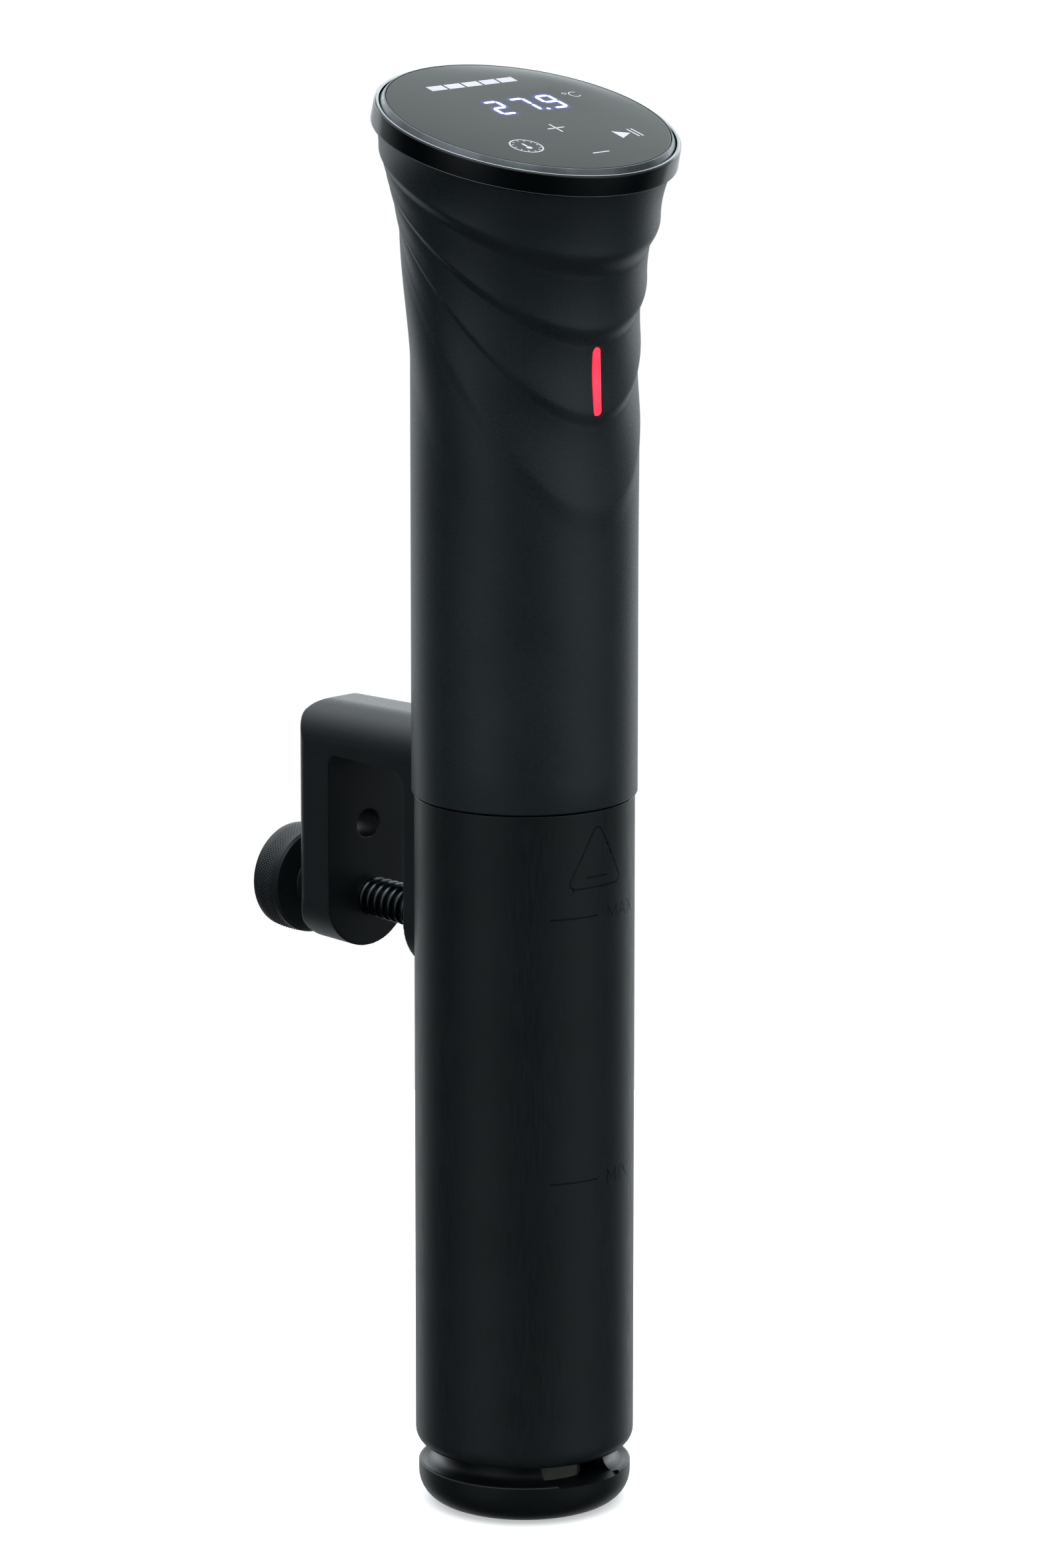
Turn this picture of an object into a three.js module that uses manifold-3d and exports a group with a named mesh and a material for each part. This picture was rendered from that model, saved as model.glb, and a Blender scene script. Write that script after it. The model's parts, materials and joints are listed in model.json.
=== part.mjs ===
// Sous vide circulator: a slim stick with a tilted touch head, a rippled upper housing, a heater
// sleeve, a twist-off base cap and a spring-backed screw clamp on its back.
//
// Units are millimetres and +Z is up. The origin is the centre of the flat base. The front, with
// the light bar and the low side of the touch panel, faces -Y. The clamp is on +Y.

import * as THREE from 'three';
import { mergeVertices } from 'three/addons/utils/BufferGeometryUtils.js';
import Module from 'manifold-3d';

const wasm = await Module();
wasm.setup();

// ---------------------------------------------------------------- driving dimensions

const GAP = 0.3; // clearance between neighbouring pieces

const HOUSING_RADIUS = 30;
const HOUSING_WALL = 2.4;
const SEAM_Z = 195.4; // between sleeve and housing
const SEAM_HALF_WIDTH = 0.25;

const SLEEVE_RADIUS = 29.3;
const SLEEVE_INNER_RADIUS = 27.5;
const SLEEVE_BOTTOM_Z = 15.5;
const SLEEVE_EDGE_RADIUS = 4.5;
const SLEEVE_LIP_THICKNESS = 2;

const BASE_RADIUS = 28.5;
const BASE_EDGE_RADIUS = 8;
const BASE_CREST_Z = 11.1;
const COVE_FLOOR_Z = 10.3;
const COVE_RADIUS = 4;
const NECK_RADIUS = 22.2;
const NECK_TOP_Z = 22;
const CHAMBER_RADIUS = 20;
const BASE_FLOOR = 2.5;
const WINDOW_HALF_WIDTH = 10.8;
const WINDOW_TOP_Z = 19;
const LUG_COUNT = 3;
const LUG_TWIST = THREE.MathUtils.degToRad(25); // from locked lug to its release notch

const HEAD_TILT = THREE.MathUtils.degToRad(13.9);
const HEAD_PIVOT_Z = 369; // where the underside plane of the bezel crosses the axis
const HEAD_RIM_RADIUS = 39.2; // top edge of the housing, in the tilted plane
const BEZEL_RADIUS = 40.5;
const BEZEL_HEIGHT = 5.9;
const TRIM_OUTER_RADIUS = 39.05;
const TRIM_EDGE_HEIGHT = 5.4; // outer edge of the trim ring, which rises from there to the glass
const GLASS_RADIUS = 37.6;
const GLASS_THICKNESS = 2;
const GLASS_TOP = 7; // above the bezel's underside

// The ripples are shallow steps that run round the housing, low at the front and high at the
// back: height - drop * cos(azimuth) - fold * cos(2 * azimuth). The crest is the radius just
// above a step and the valley the radius just below it, each with the swing by which it is
// smaller at the front. reach is how far the step runs down, as a share of the distance to the
// next ripple.
const RIPPLES = [
  { height: 357.6, drop: 14.3, fold: 0.5, crest: [36.8, 1.9], valley: [35.1, 3.2], reach: 0.3 },
  { height: 346.2, drop: 23.4, fold: 0, crest: [34.1, 3.2], valley: [33.1, 4], reach: 0.2 },
  { height: 333.2, drop: 31.1, fold: 1.9, crest: [32.3, 2.9], valley: [31.9, 3.3], reach: 0.12 },
  { height: 320, drop: 43.4, fold: 2.7, crest: [31.6, 1.9], valley: [31.4, 1.9], reach: 0.15 },
];
const CREST_ABOVE_STEP = 0.05; // share of the distance to the ripple above
const SCOOP = 0.55; // hollow of the runs between the ripples, at the front
const LAST_RIPPLE_FADE = 35; // below the last ripple the tube is straight

const LIGHT_BAR = { halfWidth: 1.4, bottom: 300.3, top: 318.4, back: -25.4, face: -29.1 };

const CLAMP_HALF_WIDTH = 14.2;
const JAW_Y = 33.4; // face of the fixed jaw
const OUTER_LEG_Y = [64.7, 78.9];
const ARM_UNDERSIDE_Z = SEAM_Z + 1;
const ARM_TOP_Z = 208.7; // at the outer corner; it rises by ARM_RISE to the body
const ARM_RISE = 2.6;
const ARM_SHOULDER_RADIUS = 11; // where the arm's top turns down to its sides
const SCREW_Z = 155.3; // axis of the clamp screw, and of the round leg ends
const ACCESS_HOLE = { z: 175.2, radius: 3.85 };
const UPPER_FIXING_Z = 203.5;
const FIXING_SHANK_RADIUS = 1.8;
const FIXING_HEAD_RADIUS = 3.6;

const SCREW_RADIUS = 2.9;
const SPRING = { coilRadius: 4.55, wireRadius: 0.95, turns: 7 };
const FOOT = { radius: 7.2, front: 36.3, back: 42, socketRadius: 3.3, socketDepth: 3.7 };
const KNOB = { radius: 14.8, inner: 86.7, outer: 96.9, hubRadius: 7, edge: 0.6 };

const GLAND_Z = 322;
const GLAND_HOLE_RADIUS = 6.3;
const SHAFT_RADIUS = 2.5;

// Centres of the printed controls on the panel: right, then towards the front.
const CONTROLS = {
  plus: [1.3, 9.5],
  minus: [1.5, 27.5],
  play: [18.6, 18.3],
  dial: [-16.1, 18.1],
};

// ---------------------------------------------------------------- materials

const paint = (color, roughness, metalness = 0) =>
  new THREE.MeshStandardMaterial({ color, roughness, metalness });

const MATERIALS = {
  housing: paint(0x23282b, 0.62),
  sleeve: paint(0x1b1d1e, 0.5),
  bezel: paint(0x070809, 0.08),
  trim: paint(0x24272a, 0.35, 0.8),
  glass: paint(0x5a605b, 0.06),
  light: paint(0xff3350, 0.4),
  clamp: paint(0x141617, 0.5),
  rubber: paint(0x0c0c0c, 0.9),
  steel: paint(0xb4b7ba, 0.3, 1),
  springSteel: paint(0x3a3c3e, 0.35, 1),
  brass: paint(0xb08d3c, 0.35, 1),
  board: paint(0x1d5a34, 0.6),
  whitePlastic: paint(0xd6d8d6, 0.5),
  electronics: paint(0x202024, 0.5),
  capacitorSleeve: paint(0x26304a, 0.4),
  aluminium: paint(0xb9bcc0, 0.35, 1),
};

// ---------------------------------------------------------------- shape helpers

const AXIS_X = new THREE.Vector3(1, 0, 0);
const AXIS_Y = new THREE.Vector3(0, 1, 0);
const AXIS_Z = new THREE.Vector3(0, 0, 1);

// A solid of revolution about Z from [radius, z] points that run from axis to axis, outer side up.
function turned(profile, segments = 24) {
  const points = profile.map(([r, z]) => new THREE.Vector2(r, z));
  return new THREE.LatheGeometry(points, segments).rotateX(Math.PI / 2);
}

// The same for a section that doesn't reach the axis, given anticlockwise.
function ring(section, segments = 24) {
  return turned([...section, section[0]], segments);
}

function rod(radius, z0, z1, segments = 16) {
  return turned([[0, z0], [radius, z0], [radius, z1], [0, z1]], segments);
}

function tube(inner, outer, z0, z1, segments = 24) {
  return ring([[inner, z0], [outer, z0], [outer, z1], [inner, z1]], segments);
}

function torus(radius, section, z) {
  return new THREE.TorusGeometry(radius, section, 5, 28).translate(0, 0, z);
}

function block([x0, x1], [y0, y1], [z0, z1]) {
  const box = new THREE.BoxGeometry(x1 - x0, y1 - y0, z1 - z0);
  return box.translate((x0 + x1) / 2, (y0 + y1) / 2, (z0 + z1) / 2);
}

// Points of an arc in a profile, angles in degrees.
function arc(centreR, centreZ, radius, from, to, steps) {
  return Array.from({ length: steps + 1 }, (_, i) => {
    const angle = THREE.MathUtils.degToRad(from + ((to - from) * i) / steps);
    return [centreR + radius * Math.cos(angle), centreZ + radius * Math.sin(angle)];
  });
}

// Turns a piece built about Z so that its axis is Y, at the given x and z.
function alongY(geometry, x, z) {
  return geometry.rotateX(-Math.PI / 2).translate(x, 0, z);
}

function extrude(shape, depth, curveSegments = 7) {
  return new THREE.ExtrudeGeometry(shape, { depth, bevelEnabled: false, curveSegments });
}

// Puts a drawing of the Y-Z plane, extruded, across the object from -halfWidth to +halfWidth.
function acrossX(shape, halfWidth) {
  const basis = new THREE.Matrix4().makeBasis(AXIS_Y, AXIS_Z, AXIS_X);
  return extrude(shape, 2 * halfWidth).applyMatrix4(basis).translate(-halfWidth, 0, 0);
}

// Puts a drawing of the X-Z plane, extruded, between two Y values.
function throughY(shape, y0, y1) {
  const basis = new THREE.Matrix4().makeBasis(AXIS_X, AXIS_Z, AXIS_Y.clone().negate());
  return extrude(shape, y1 - y0).applyMatrix4(basis).translate(0, y1, 0);
}

// A prism between two Y values with round ends, standing between two heights.
function uprightSlot(halfWidth, [y0, y1], [z0, z1]) {
  const shape = new THREE.Shape();
  shape.absarc(0, z1 - halfWidth, halfWidth, 0, Math.PI);
  shape.absarc(0, z0 + halfWidth, halfWidth, Math.PI, 2 * Math.PI);
  return throughY(shape, y0, y1);
}

function toSolid(geometry) {
  const bare = geometry.clone();
  bare.deleteAttribute('normal');
  bare.deleteAttribute('uv');
  const merged = mergeVertices(bare, 1e-4);
  return new wasm.Manifold(
    new wasm.Mesh({
      numProp: 3,
      vertProperties: new Float32Array(merged.attributes.position.array),
      triVerts: new Uint32Array(merged.index.array),
    }),
  );
}

function toGeometry(solid) {
  const mesh = solid.getMesh();
  const geometry = new THREE.BufferGeometry();
  geometry.setAttribute('position', new THREE.BufferAttribute(mesh.vertProperties, 3));
  geometry.setIndex(new THREE.BufferAttribute(mesh.triVerts, 1));
  geometry.computeVertexNormals();
  return geometry;
}

const combine = (operation) => (geometry, ...others) =>
  toGeometry(others.reduce((solid, other) => solid[operation](toSolid(other)), toSolid(geometry)));
const cut = combine('subtract');
const join = combine('add');
const common = combine('intersect');

// ---------------------------------------------------------------- upper housing surface

const smoothstep = (t) => t * t * (3 - 2 * t);

// Control points of the outer surface at one azimuth from the front, top to bottom.
function housingControls(azimuth) {
  const c = Math.cos(azimuth);
  const tilt = Math.hypot(Math.sin(azimuth), c / Math.cos(HEAD_TILT));
  const rimRadius = HEAD_RIM_RADIUS / tilt;
  const rimZ = HEAD_PIVOT_Z - GAP - rimRadius * c * Math.tan(HEAD_TILT);
  const twice = Math.cos(2 * azimuth);
  const steps = RIPPLES.map(({ height, drop, fold }) => height - drop * c - fold * twice);
  const levels = [rimZ, ...steps, steps[steps.length - 1] - LAST_RIPPLE_FADE];
  const controls = [{ radius: rimRadius, z: rimZ }];
  RIPPLES.forEach(({ crest, valley, reach }, i) => {
    const z = levels[i + 1];
    controls.push({ radius: crest[0] - crest[1] * c, z: z + CREST_ABOVE_STEP * (levels[i] - z) });
    controls.push({ radius: valley[0] - valley[1] * c, z: z - reach * (z - levels[i + 2]) });
  });
  controls.push({ radius: HOUSING_RADIUS, z: levels[levels.length - 1] });
  return controls;
}

// The surface between two controls: a hollow flare under the rim, a smooth step from each crest
// to its valley, and a nearly straight run from each valley to the next crest.
function ease(index, t) {
  if (index === 0) return 1 - (1 - t) ** 2;
  return index % 2 === 1 ? smoothstep(t) : (t + smoothstep(t)) / 2;
}

// An inset surface follows the tilt of the rim, so that the rim's top edge lies in one plane.
function housingPoint(azimuth, level, inset) {
  const controls = housingControls(azimuth);
  const index = Math.min(Math.floor(level), controls.length - 2);
  const t = level - index;
  const [a, b] = [controls[index], controls[index + 1]];
  const isRun = index > 0 && index % 2 === 0 && index < 2 * RIPPLES.length;
  const hollow = isRun ? SCOOP * Math.max(0, Math.cos(azimuth)) * Math.sin(Math.PI * t ** 0.8) : 0;
  const radius = a.radius + (b.radius - a.radius) * ease(index, t) - hollow - inset;
  const tiltShift = inset * Math.cos(azimuth) * Math.tan(HEAD_TILT);
  return [radius, a.z + (b.z - a.z) * t + tiltShift];
}

function housingShell() {
  const segments = 32;
  const lastLevel = 2 * RIPPLES.length + 1;
  const bottomZ = SEAM_Z + SEAM_HALF_WIDTH;
  const surface = (inset, perLevel) =>
    Array.from({ length: lastLevel * perLevel + 1 }, (_, i) => {
      const level = lastLevel - i / perLevel;
      return (azimuth) => housingPoint(azimuth, level, inset);
    });
  const inner = surface(HOUSING_WALL, 1).reverse();
  const stations = [
    () => [HOUSING_RADIUS - HOUSING_WALL, bottomZ],
    () => [HOUSING_RADIUS - GAP, bottomZ],
    () => [HOUSING_RADIUS, bottomZ + GAP],
    ...surface(0, 2),
    ...inner,
  ];
  stations.push(stations[0]);
  const outline = stations.map((_, i) => new THREE.Vector2(1, i));
  const geometry = new THREE.LatheGeometry(outline, segments);
  const position = geometry.attributes.position;
  for (let i = 0; i < position.count; i += 1) {
    const column = Math.floor(i / stations.length) % segments;
    const azimuth = (column / segments) * 2 * Math.PI;
    const [radius, z] = stations[i % stations.length](azimuth);
    position.setXYZ(i, radius * Math.sin(azimuth), -radius * Math.cos(azimuth), z);
  }
  return geometry;
}

// ---------------------------------------------------------------- assembly

const circulator = new THREE.Group();
const head = new THREE.Group(); // tilted frame of the touch panel
head.position.z = HEAD_PIVOT_Z;
head.rotation.x = HEAD_TILT;
circulator.add(head);

function add(name, geometry, material, parent = circulator) {
  const mesh = new THREE.Mesh(geometry, material);
  mesh.name = name;
  parent.add(mesh);
}

// Casings from the seam upwards.
function addHousing() {
  const { halfWidth, bottom, top, back, face } = LIGHT_BAR;
  const slot = uprightSlot(halfWidth + GAP, [-40, -20], [bottom - GAP, top + GAP]);
  const glandHole = alongY(rod(GLAND_HOLE_RADIUS, 20, 40), 0, GLAND_Z);
  const fixingHole = alongY(rod(FIXING_SHANK_RADIUS + GAP, 20, 40, 16), 0, UPPER_FIXING_Z);
  add('upper_housing', cut(housingShell(), slot, glandHole, fixingHole), MATERIALS.housing);
  add('led_light_bar', uprightSlot(halfWidth, [face, back], [bottom, top]), MATERIALS.light);
  add('led_board', block([-5, 5], [back + GAP, back + 1.5], [297, 320]), MATERIALS.board);
  add('seam_gasket', tube(27.3, 28.7, SEAM_Z - 0.15, SEAM_Z + 0.15, 32), MATERIALS.rubber);
}

// Bezel, trim ring and glass, with the display behind them, in the tilted frame.
function addHead() {
  const shelf = 2.2;
  add(
    'bezel_ring',
    ring(
      [
        [37.2, 0], [BEZEL_RADIUS - 0.4, 0], [BEZEL_RADIUS + 0.1, 0.6],
        [BEZEL_RADIUS, BEZEL_HEIGHT - 0.8], [BEZEL_RADIUS - 0.6, BEZEL_HEIGHT],
        [TRIM_OUTER_RADIUS + GAP, BEZEL_HEIGHT - 0.2], [TRIM_OUTER_RADIUS + GAP, shelf],
        [37.2, shelf],
      ],
      40,
    ),
    MATERIALS.bezel,
    head,
  );
  const trimInner = GLASS_RADIUS + GAP;
  const trimBottom = shelf + GAP;
  add(
    'trim_ring',
    ring(
      [
        [trimInner, trimBottom], [TRIM_OUTER_RADIUS, trimBottom],
        [TRIM_OUTER_RADIUS, TRIM_EDGE_HEIGHT], [trimInner, GLASS_TOP],
      ],
      40,
    ),
    MATERIALS.trim,
    head,
  );
  add('glass_panel', rod(GLASS_RADIUS, GLASS_TOP - GLASS_THICKNESS, GLASS_TOP, 40), MATERIALS.glass, head);

  const behindGlass = GLASS_TOP - GLASS_THICKNESS - GAP;
  const screwCircle = 28.5;
  const screwAngles = [60, 180, 300].map(THREE.MathUtils.degToRad);
  const atScrew = (geometry, angle) =>
    geometry.translate(screwCircle * Math.cos(angle), screwCircle * Math.sin(angle), 0);
  const holes = screwAngles.map((angle) => atScrew(rod(1.7, -12, 4, 12), angle));
  add('display_board', cut(rod(33.5, -1.6, 0, 28), ...holes), MATERIALS.board, head);
  add('head_carrier', cut(tube(24, 31.5, -8, -1.9), ...holes), MATERIALS.whitePlastic, head);
  screwAngles.forEach((angle, i) => {
    const screw = turned([[0, -7.5], [1.4, -7.5], [1.4, GAP], [2.5, GAP], [2.5, 1.9], [0, 1.9]], 12);
    add(`head_screw_${i + 1}`, atScrew(screw, angle), MATERIALS.steel, head);
  });
  add('display_module', block([-17, 27], [1.5, 19.5], [GAP, behindGlass]), MATERIALS.electronics, head);
  for (const [name, [right, forward]] of Object.entries(CONTROLS)) {
    const pad = rod(3.2, GAP, behindGlass, 16).translate(right, -forward, 0);
    add(`touch_sensor_${name}`, pad, MATERIALS.springSteel, head);
  }
}

// Power and control electronics in the upper housing.
function addElectronics() {
  const boardBack = 9.6;
  const boardFace = 8;
  const [low, high] = [217, 315];
  const screwPlaces = [[-18, low], [18, high]];
  const through = (radius) =>
    screwPlaces.map(([x, z]) => alongY(rod(radius, 2, 20, 12), x, z));
  add(
    'control_board',
    cut(block([-21, 21], [boardFace, boardBack], [212, 320]), ...through(1.6)),
    MATERIALS.board,
  );
  add(
    'board_chassis',
    cut(block([-21.5, 21.5], [boardBack + GAP, 12.6], [209, 322]), ...through(1.5)),
    MATERIALS.whitePlastic,
  );
  screwPlaces.forEach(([x, z], i) => {
    const headEnd = boardFace - GAP;
    const screw = turned(
      [[0, headEnd - 1.6], [2.4, headEnd - 1.6], [2.4, headEnd], [1.2, headEnd], [1.2, 12], [0, 12]],
      12,
    );
    add(`board_screw_${i + 1}`, alongY(screw, x, z), MATERIALS.steel);
  });

  const onBoard = boardFace - GAP;
  add('transformer', block([-17, 3], [-9, onBoard], [226, 247]), MATERIALS.brass);
  add('capacitor', rod(5.5, 224, 247, 20).translate(12, 1.9, 0), MATERIALS.capacitorSleeve);
  add('relay', block([-15, -3], [-6, onBoard], [290, 308]), MATERIALS.whitePlastic);
  add('buzzer', alongY(rod(6, 1.5, onBoard, 20), 9, 297), MATERIALS.electronics);

  const fins = Array.from({ length: 6 }, (_, i) => {
    const x = -15 + 6 * i;
    return block([x, x + 1.5], [-5, onBoard - 2.5], [256, 281]);
  });
  const plate = block([-16.5, 16.5], [onBoard - 3, onBoard], [256, 281]);
  add('heat_sink', join(plate, ...fins), MATERIALS.aluminium);
}

// The inlet that the power lead goes through, and its nut inside the wall.
function addGland() {
  const bore = 3.5;
  const body = ring(
    [
      [bore, 22], [6, 22], [6, 30.8], [8.5, 30.8], [8.5, 33], [7, 33.6], [6.4, 38], [5.4, 39.5],
      [bore, 39.5],
    ],
    28,
  );
  add('cord_gland', alongY(body, 0, GLAND_Z), MATERIALS.clamp);
  const nut = cut(rod(9, 22.8, 25.6, 6), rod(GLAND_HOLE_RADIUS, 20, 30));
  add('gland_lock_nut', alongY(nut, 0, GLAND_Z), MATERIALS.whitePlastic);
}

// Sleeve, and the collar that joins it to the housing.
function addSleeve() {
  const top = SEAM_Z - SEAM_HALF_WIDTH;
  const edge = arc(
    SLEEVE_RADIUS - SLEEVE_EDGE_RADIUS, SLEEVE_BOTTOM_Z + SLEEVE_EDGE_RADIUS, SLEEVE_EDGE_RADIUS, -90, 0, 4,
  );
  const lipTop = SLEEVE_BOTTOM_Z + SLEEVE_LIP_THICKNESS;
  const shell = ring(
    [
      [NECK_RADIUS + 0.4, SLEEVE_BOTTOM_Z], ...edge,
      [SLEEVE_RADIUS, top - GAP], [SLEEVE_RADIUS - GAP, top], [SLEEVE_INNER_RADIUS, top],
      [SLEEVE_INNER_RADIUS, lipTop + 3], [SLEEVE_INNER_RADIUS - 2, lipTop],
      [NECK_RADIUS + 0.4, lipTop],
    ],
    32,
  );
  const notches = lugAngles(LUG_TWIST).map((angle) =>
    block([20, 24.8], [-4.8, 4.8], [10, lipTop + 0.5]).rotateZ(angle));
  const fixingHole = alongY(rod(FIXING_SHANK_RADIUS + GAP, 20, 40, 16), 0, ACCESS_HOLE.z);
  add('lower_sleeve', cut(shell, ...notches, fixingHole), MATERIALS.sleeve);

  const collarHole = alongY(rod(FIXING_SHANK_RADIUS + GAP, 20, 40, 16), 0, UPPER_FIXING_Z);
  const collar = ring(
    [
      [24.6, 183], [27.1, 183], [27.1, 187], [25.6, 187], [25.6, 189.2], [27.1, 189.2], [27.1, 209],
      [24.6, 209],
    ],
  );
  add('joining_collar', cut(collar, collarHole), MATERIALS.whitePlastic);
  add('collar_o_ring', torus(26.5, 0.8, 188.1), MATERIALS.rubber);
}

// Azimuths of the bayonet lugs, turned on by offset. The first stands at the back.
function lugAngles(offset) {
  return Array.from({ length: LUG_COUNT }, (_, i) => Math.PI / 2 + (2 * Math.PI * i) / LUG_COUNT + offset);
}

// Twist-off base: a round puck with a cove under the sleeve, an outlet window and inlet slots.
function addBaseCap() {
  const puck = turned(
    [
      [0, 0],
      ...arc(BASE_RADIUS - BASE_EDGE_RADIUS, BASE_EDGE_RADIUS, BASE_EDGE_RADIUS, -90, 0, 5),
      [BASE_RADIUS, BASE_CREST_Z - 0.8], [BASE_RADIUS - 0.3, BASE_CREST_Z - 0.2],
      [BASE_RADIUS - 0.9, BASE_CREST_Z],
      ...arc(NECK_RADIUS + COVE_RADIUS, COVE_FLOOR_Z + COVE_RADIUS, COVE_RADIUS, -90, -180, 3),
      [NECK_RADIUS, NECK_TOP_Z], [CHAMBER_RADIUS, NECK_TOP_Z], [CHAMBER_RADIUS, BASE_FLOOR],
      [0, BASE_FLOOR],
    ],
    32,
  );
  const window = block(
    [-WINDOW_HALF_WIDTH, WINDOW_HALF_WIDTH], [-BASE_RADIUS - 5, -10], [COVE_FLOOR_Z, WINDOW_TOP_Z],
  );
  const slots = Array.from({ length: 8 }, (_, i) =>
    block([7.5, 17.5], [-1.5, 1.5], [-1, BASE_FLOOR + 1]).rotateZ((Math.PI / 4) * i));
  const lugs = lugAngles(0).map((angle) => block([21, 24.5], [-4, 4], [18.2, 20.8]).rotateZ(angle));
  add('base_cap', cut(join(puck, ...lugs), window, ...slots), MATERIALS.sleeve);
}

// Everything that turns with the pump, from the impeller up to the motor.
function addPumpDrive() {
  const hub = turned(
    [
      [0, 7], [15, 7], [15, 8.2], [5, 8.2], [5, 16], [SHAFT_RADIUS + GAP, 16],
      [SHAFT_RADIUS + GAP, 9.5], [0, 9.5],
    ],
    32,
  );
  const blades = Array.from({ length: 6 }, (_, i) =>
    block([4.5, 14.8], [-0.7, 0.7], [8, 14]).rotateZ((Math.PI / 3) * i));
  add('impeller', join(hub, ...blades), MATERIALS.whitePlastic);
  add('impeller_shaft', rod(SHAFT_RADIUS, 9.8, 117, 20), MATERIALS.steel);
  add('shaft_coupling', tube(SHAFT_RADIUS + GAP, 5.5, 112.5, 124, 20), MATERIALS.brass);
  add('motor_shaft', rod(SHAFT_RADIUS, 117.5, 132.5, 20), MATERIALS.steel);
}

// Pump and motor parts that stand still.
function addPumpFrame() {
  const shaftHole = SHAFT_RADIUS + 0.5;
  add('pump_plate', tube(shaftHole, 26.8, 24, 27), MATERIALS.whitePlastic);
  add('lower_bearing', tube(shaftHole, 6.5, 27 + GAP, 32, 24), MATERIALS.brass);
  add(
    'bulkhead',
    ring([
      [shaftHole, 100], [27.1, 100], [27.1, 102], [25.3, 102], [25.3, 104.2], [27.1, 104.2], [27.1, 106],
      [shaftHole, 106],
    ]),
    MATERIALS.whitePlastic,
  );
  add('bulkhead_o_ring', torus(26.3, 0.85, 103.1), MATERIALS.rubber);
  add('shaft_seal', tube(SHAFT_RADIUS + GAP, 7, 106 + GAP, 110.5, 24), MATERIALS.rubber);
  add('motor_mount', tube(7, 27, 126.5, 129.7), MATERIALS.aluminium);
  add(
    'motor',
    turned([[0, 133], [shaftHole, 133], [shaftHole, 130], [16, 130], [16, 168], [0, 168]], 32),
    MATERIALS.steel,
  );
  const endcap = turned([[0, 168.3], [15, 168.3], [15, 172], [9, 175], [0, 175]], 32);
  add('motor_endcap', endcap, MATERIALS.electronics);
}

class Helix extends THREE.Curve {
  constructor(radius, z0, z1, turns) {
    super();
    Object.assign(this, { radius, z0, z1, turns });
  }

  getPoint(t) {
    const angle = 2 * Math.PI * this.turns * t;
    const z = this.z0 + (this.z1 - this.z0) * t;
    return new THREE.Vector3(this.radius * Math.cos(angle), this.radius * Math.sin(angle), z);
  }
}

function coil(helix, wireRadius, stepsPerTurn, sides) {
  const shape = new THREE.Shape();
  shape.absarc(0, 0, wireRadius, 0, 2 * Math.PI);
  return new THREE.ExtrudeGeometry(shape, {
    steps: Math.round(helix.turns * stepsPerTurn),
    curveSegments: sides,
    extrudePath: helix,
  });
}

// Heater and probes, hanging in the water space of the sleeve.
function addHeater() {
  add('heater_coil', coil(new Helix(19, 40, 86, 4), 3, 12, 3), MATERIALS.steel);
  const probe = turned([[0, 34], [1.4, 34.6], [2, 36], [2, 99.7], [0, 99.7]], 16).translate(8, 8, 0);
  add('temperature_probe', probe, MATERIALS.steel);
  const electrode = (bottom, x) => rod(1.2, bottom, 99.7, 12).translate(x, 0, 0);
  add('level_probe_long', electrode(70, -24.5), MATERIALS.steel);
  add('level_probe_short', electrode(92, 24.5), MATERIALS.steel);
}

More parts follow.
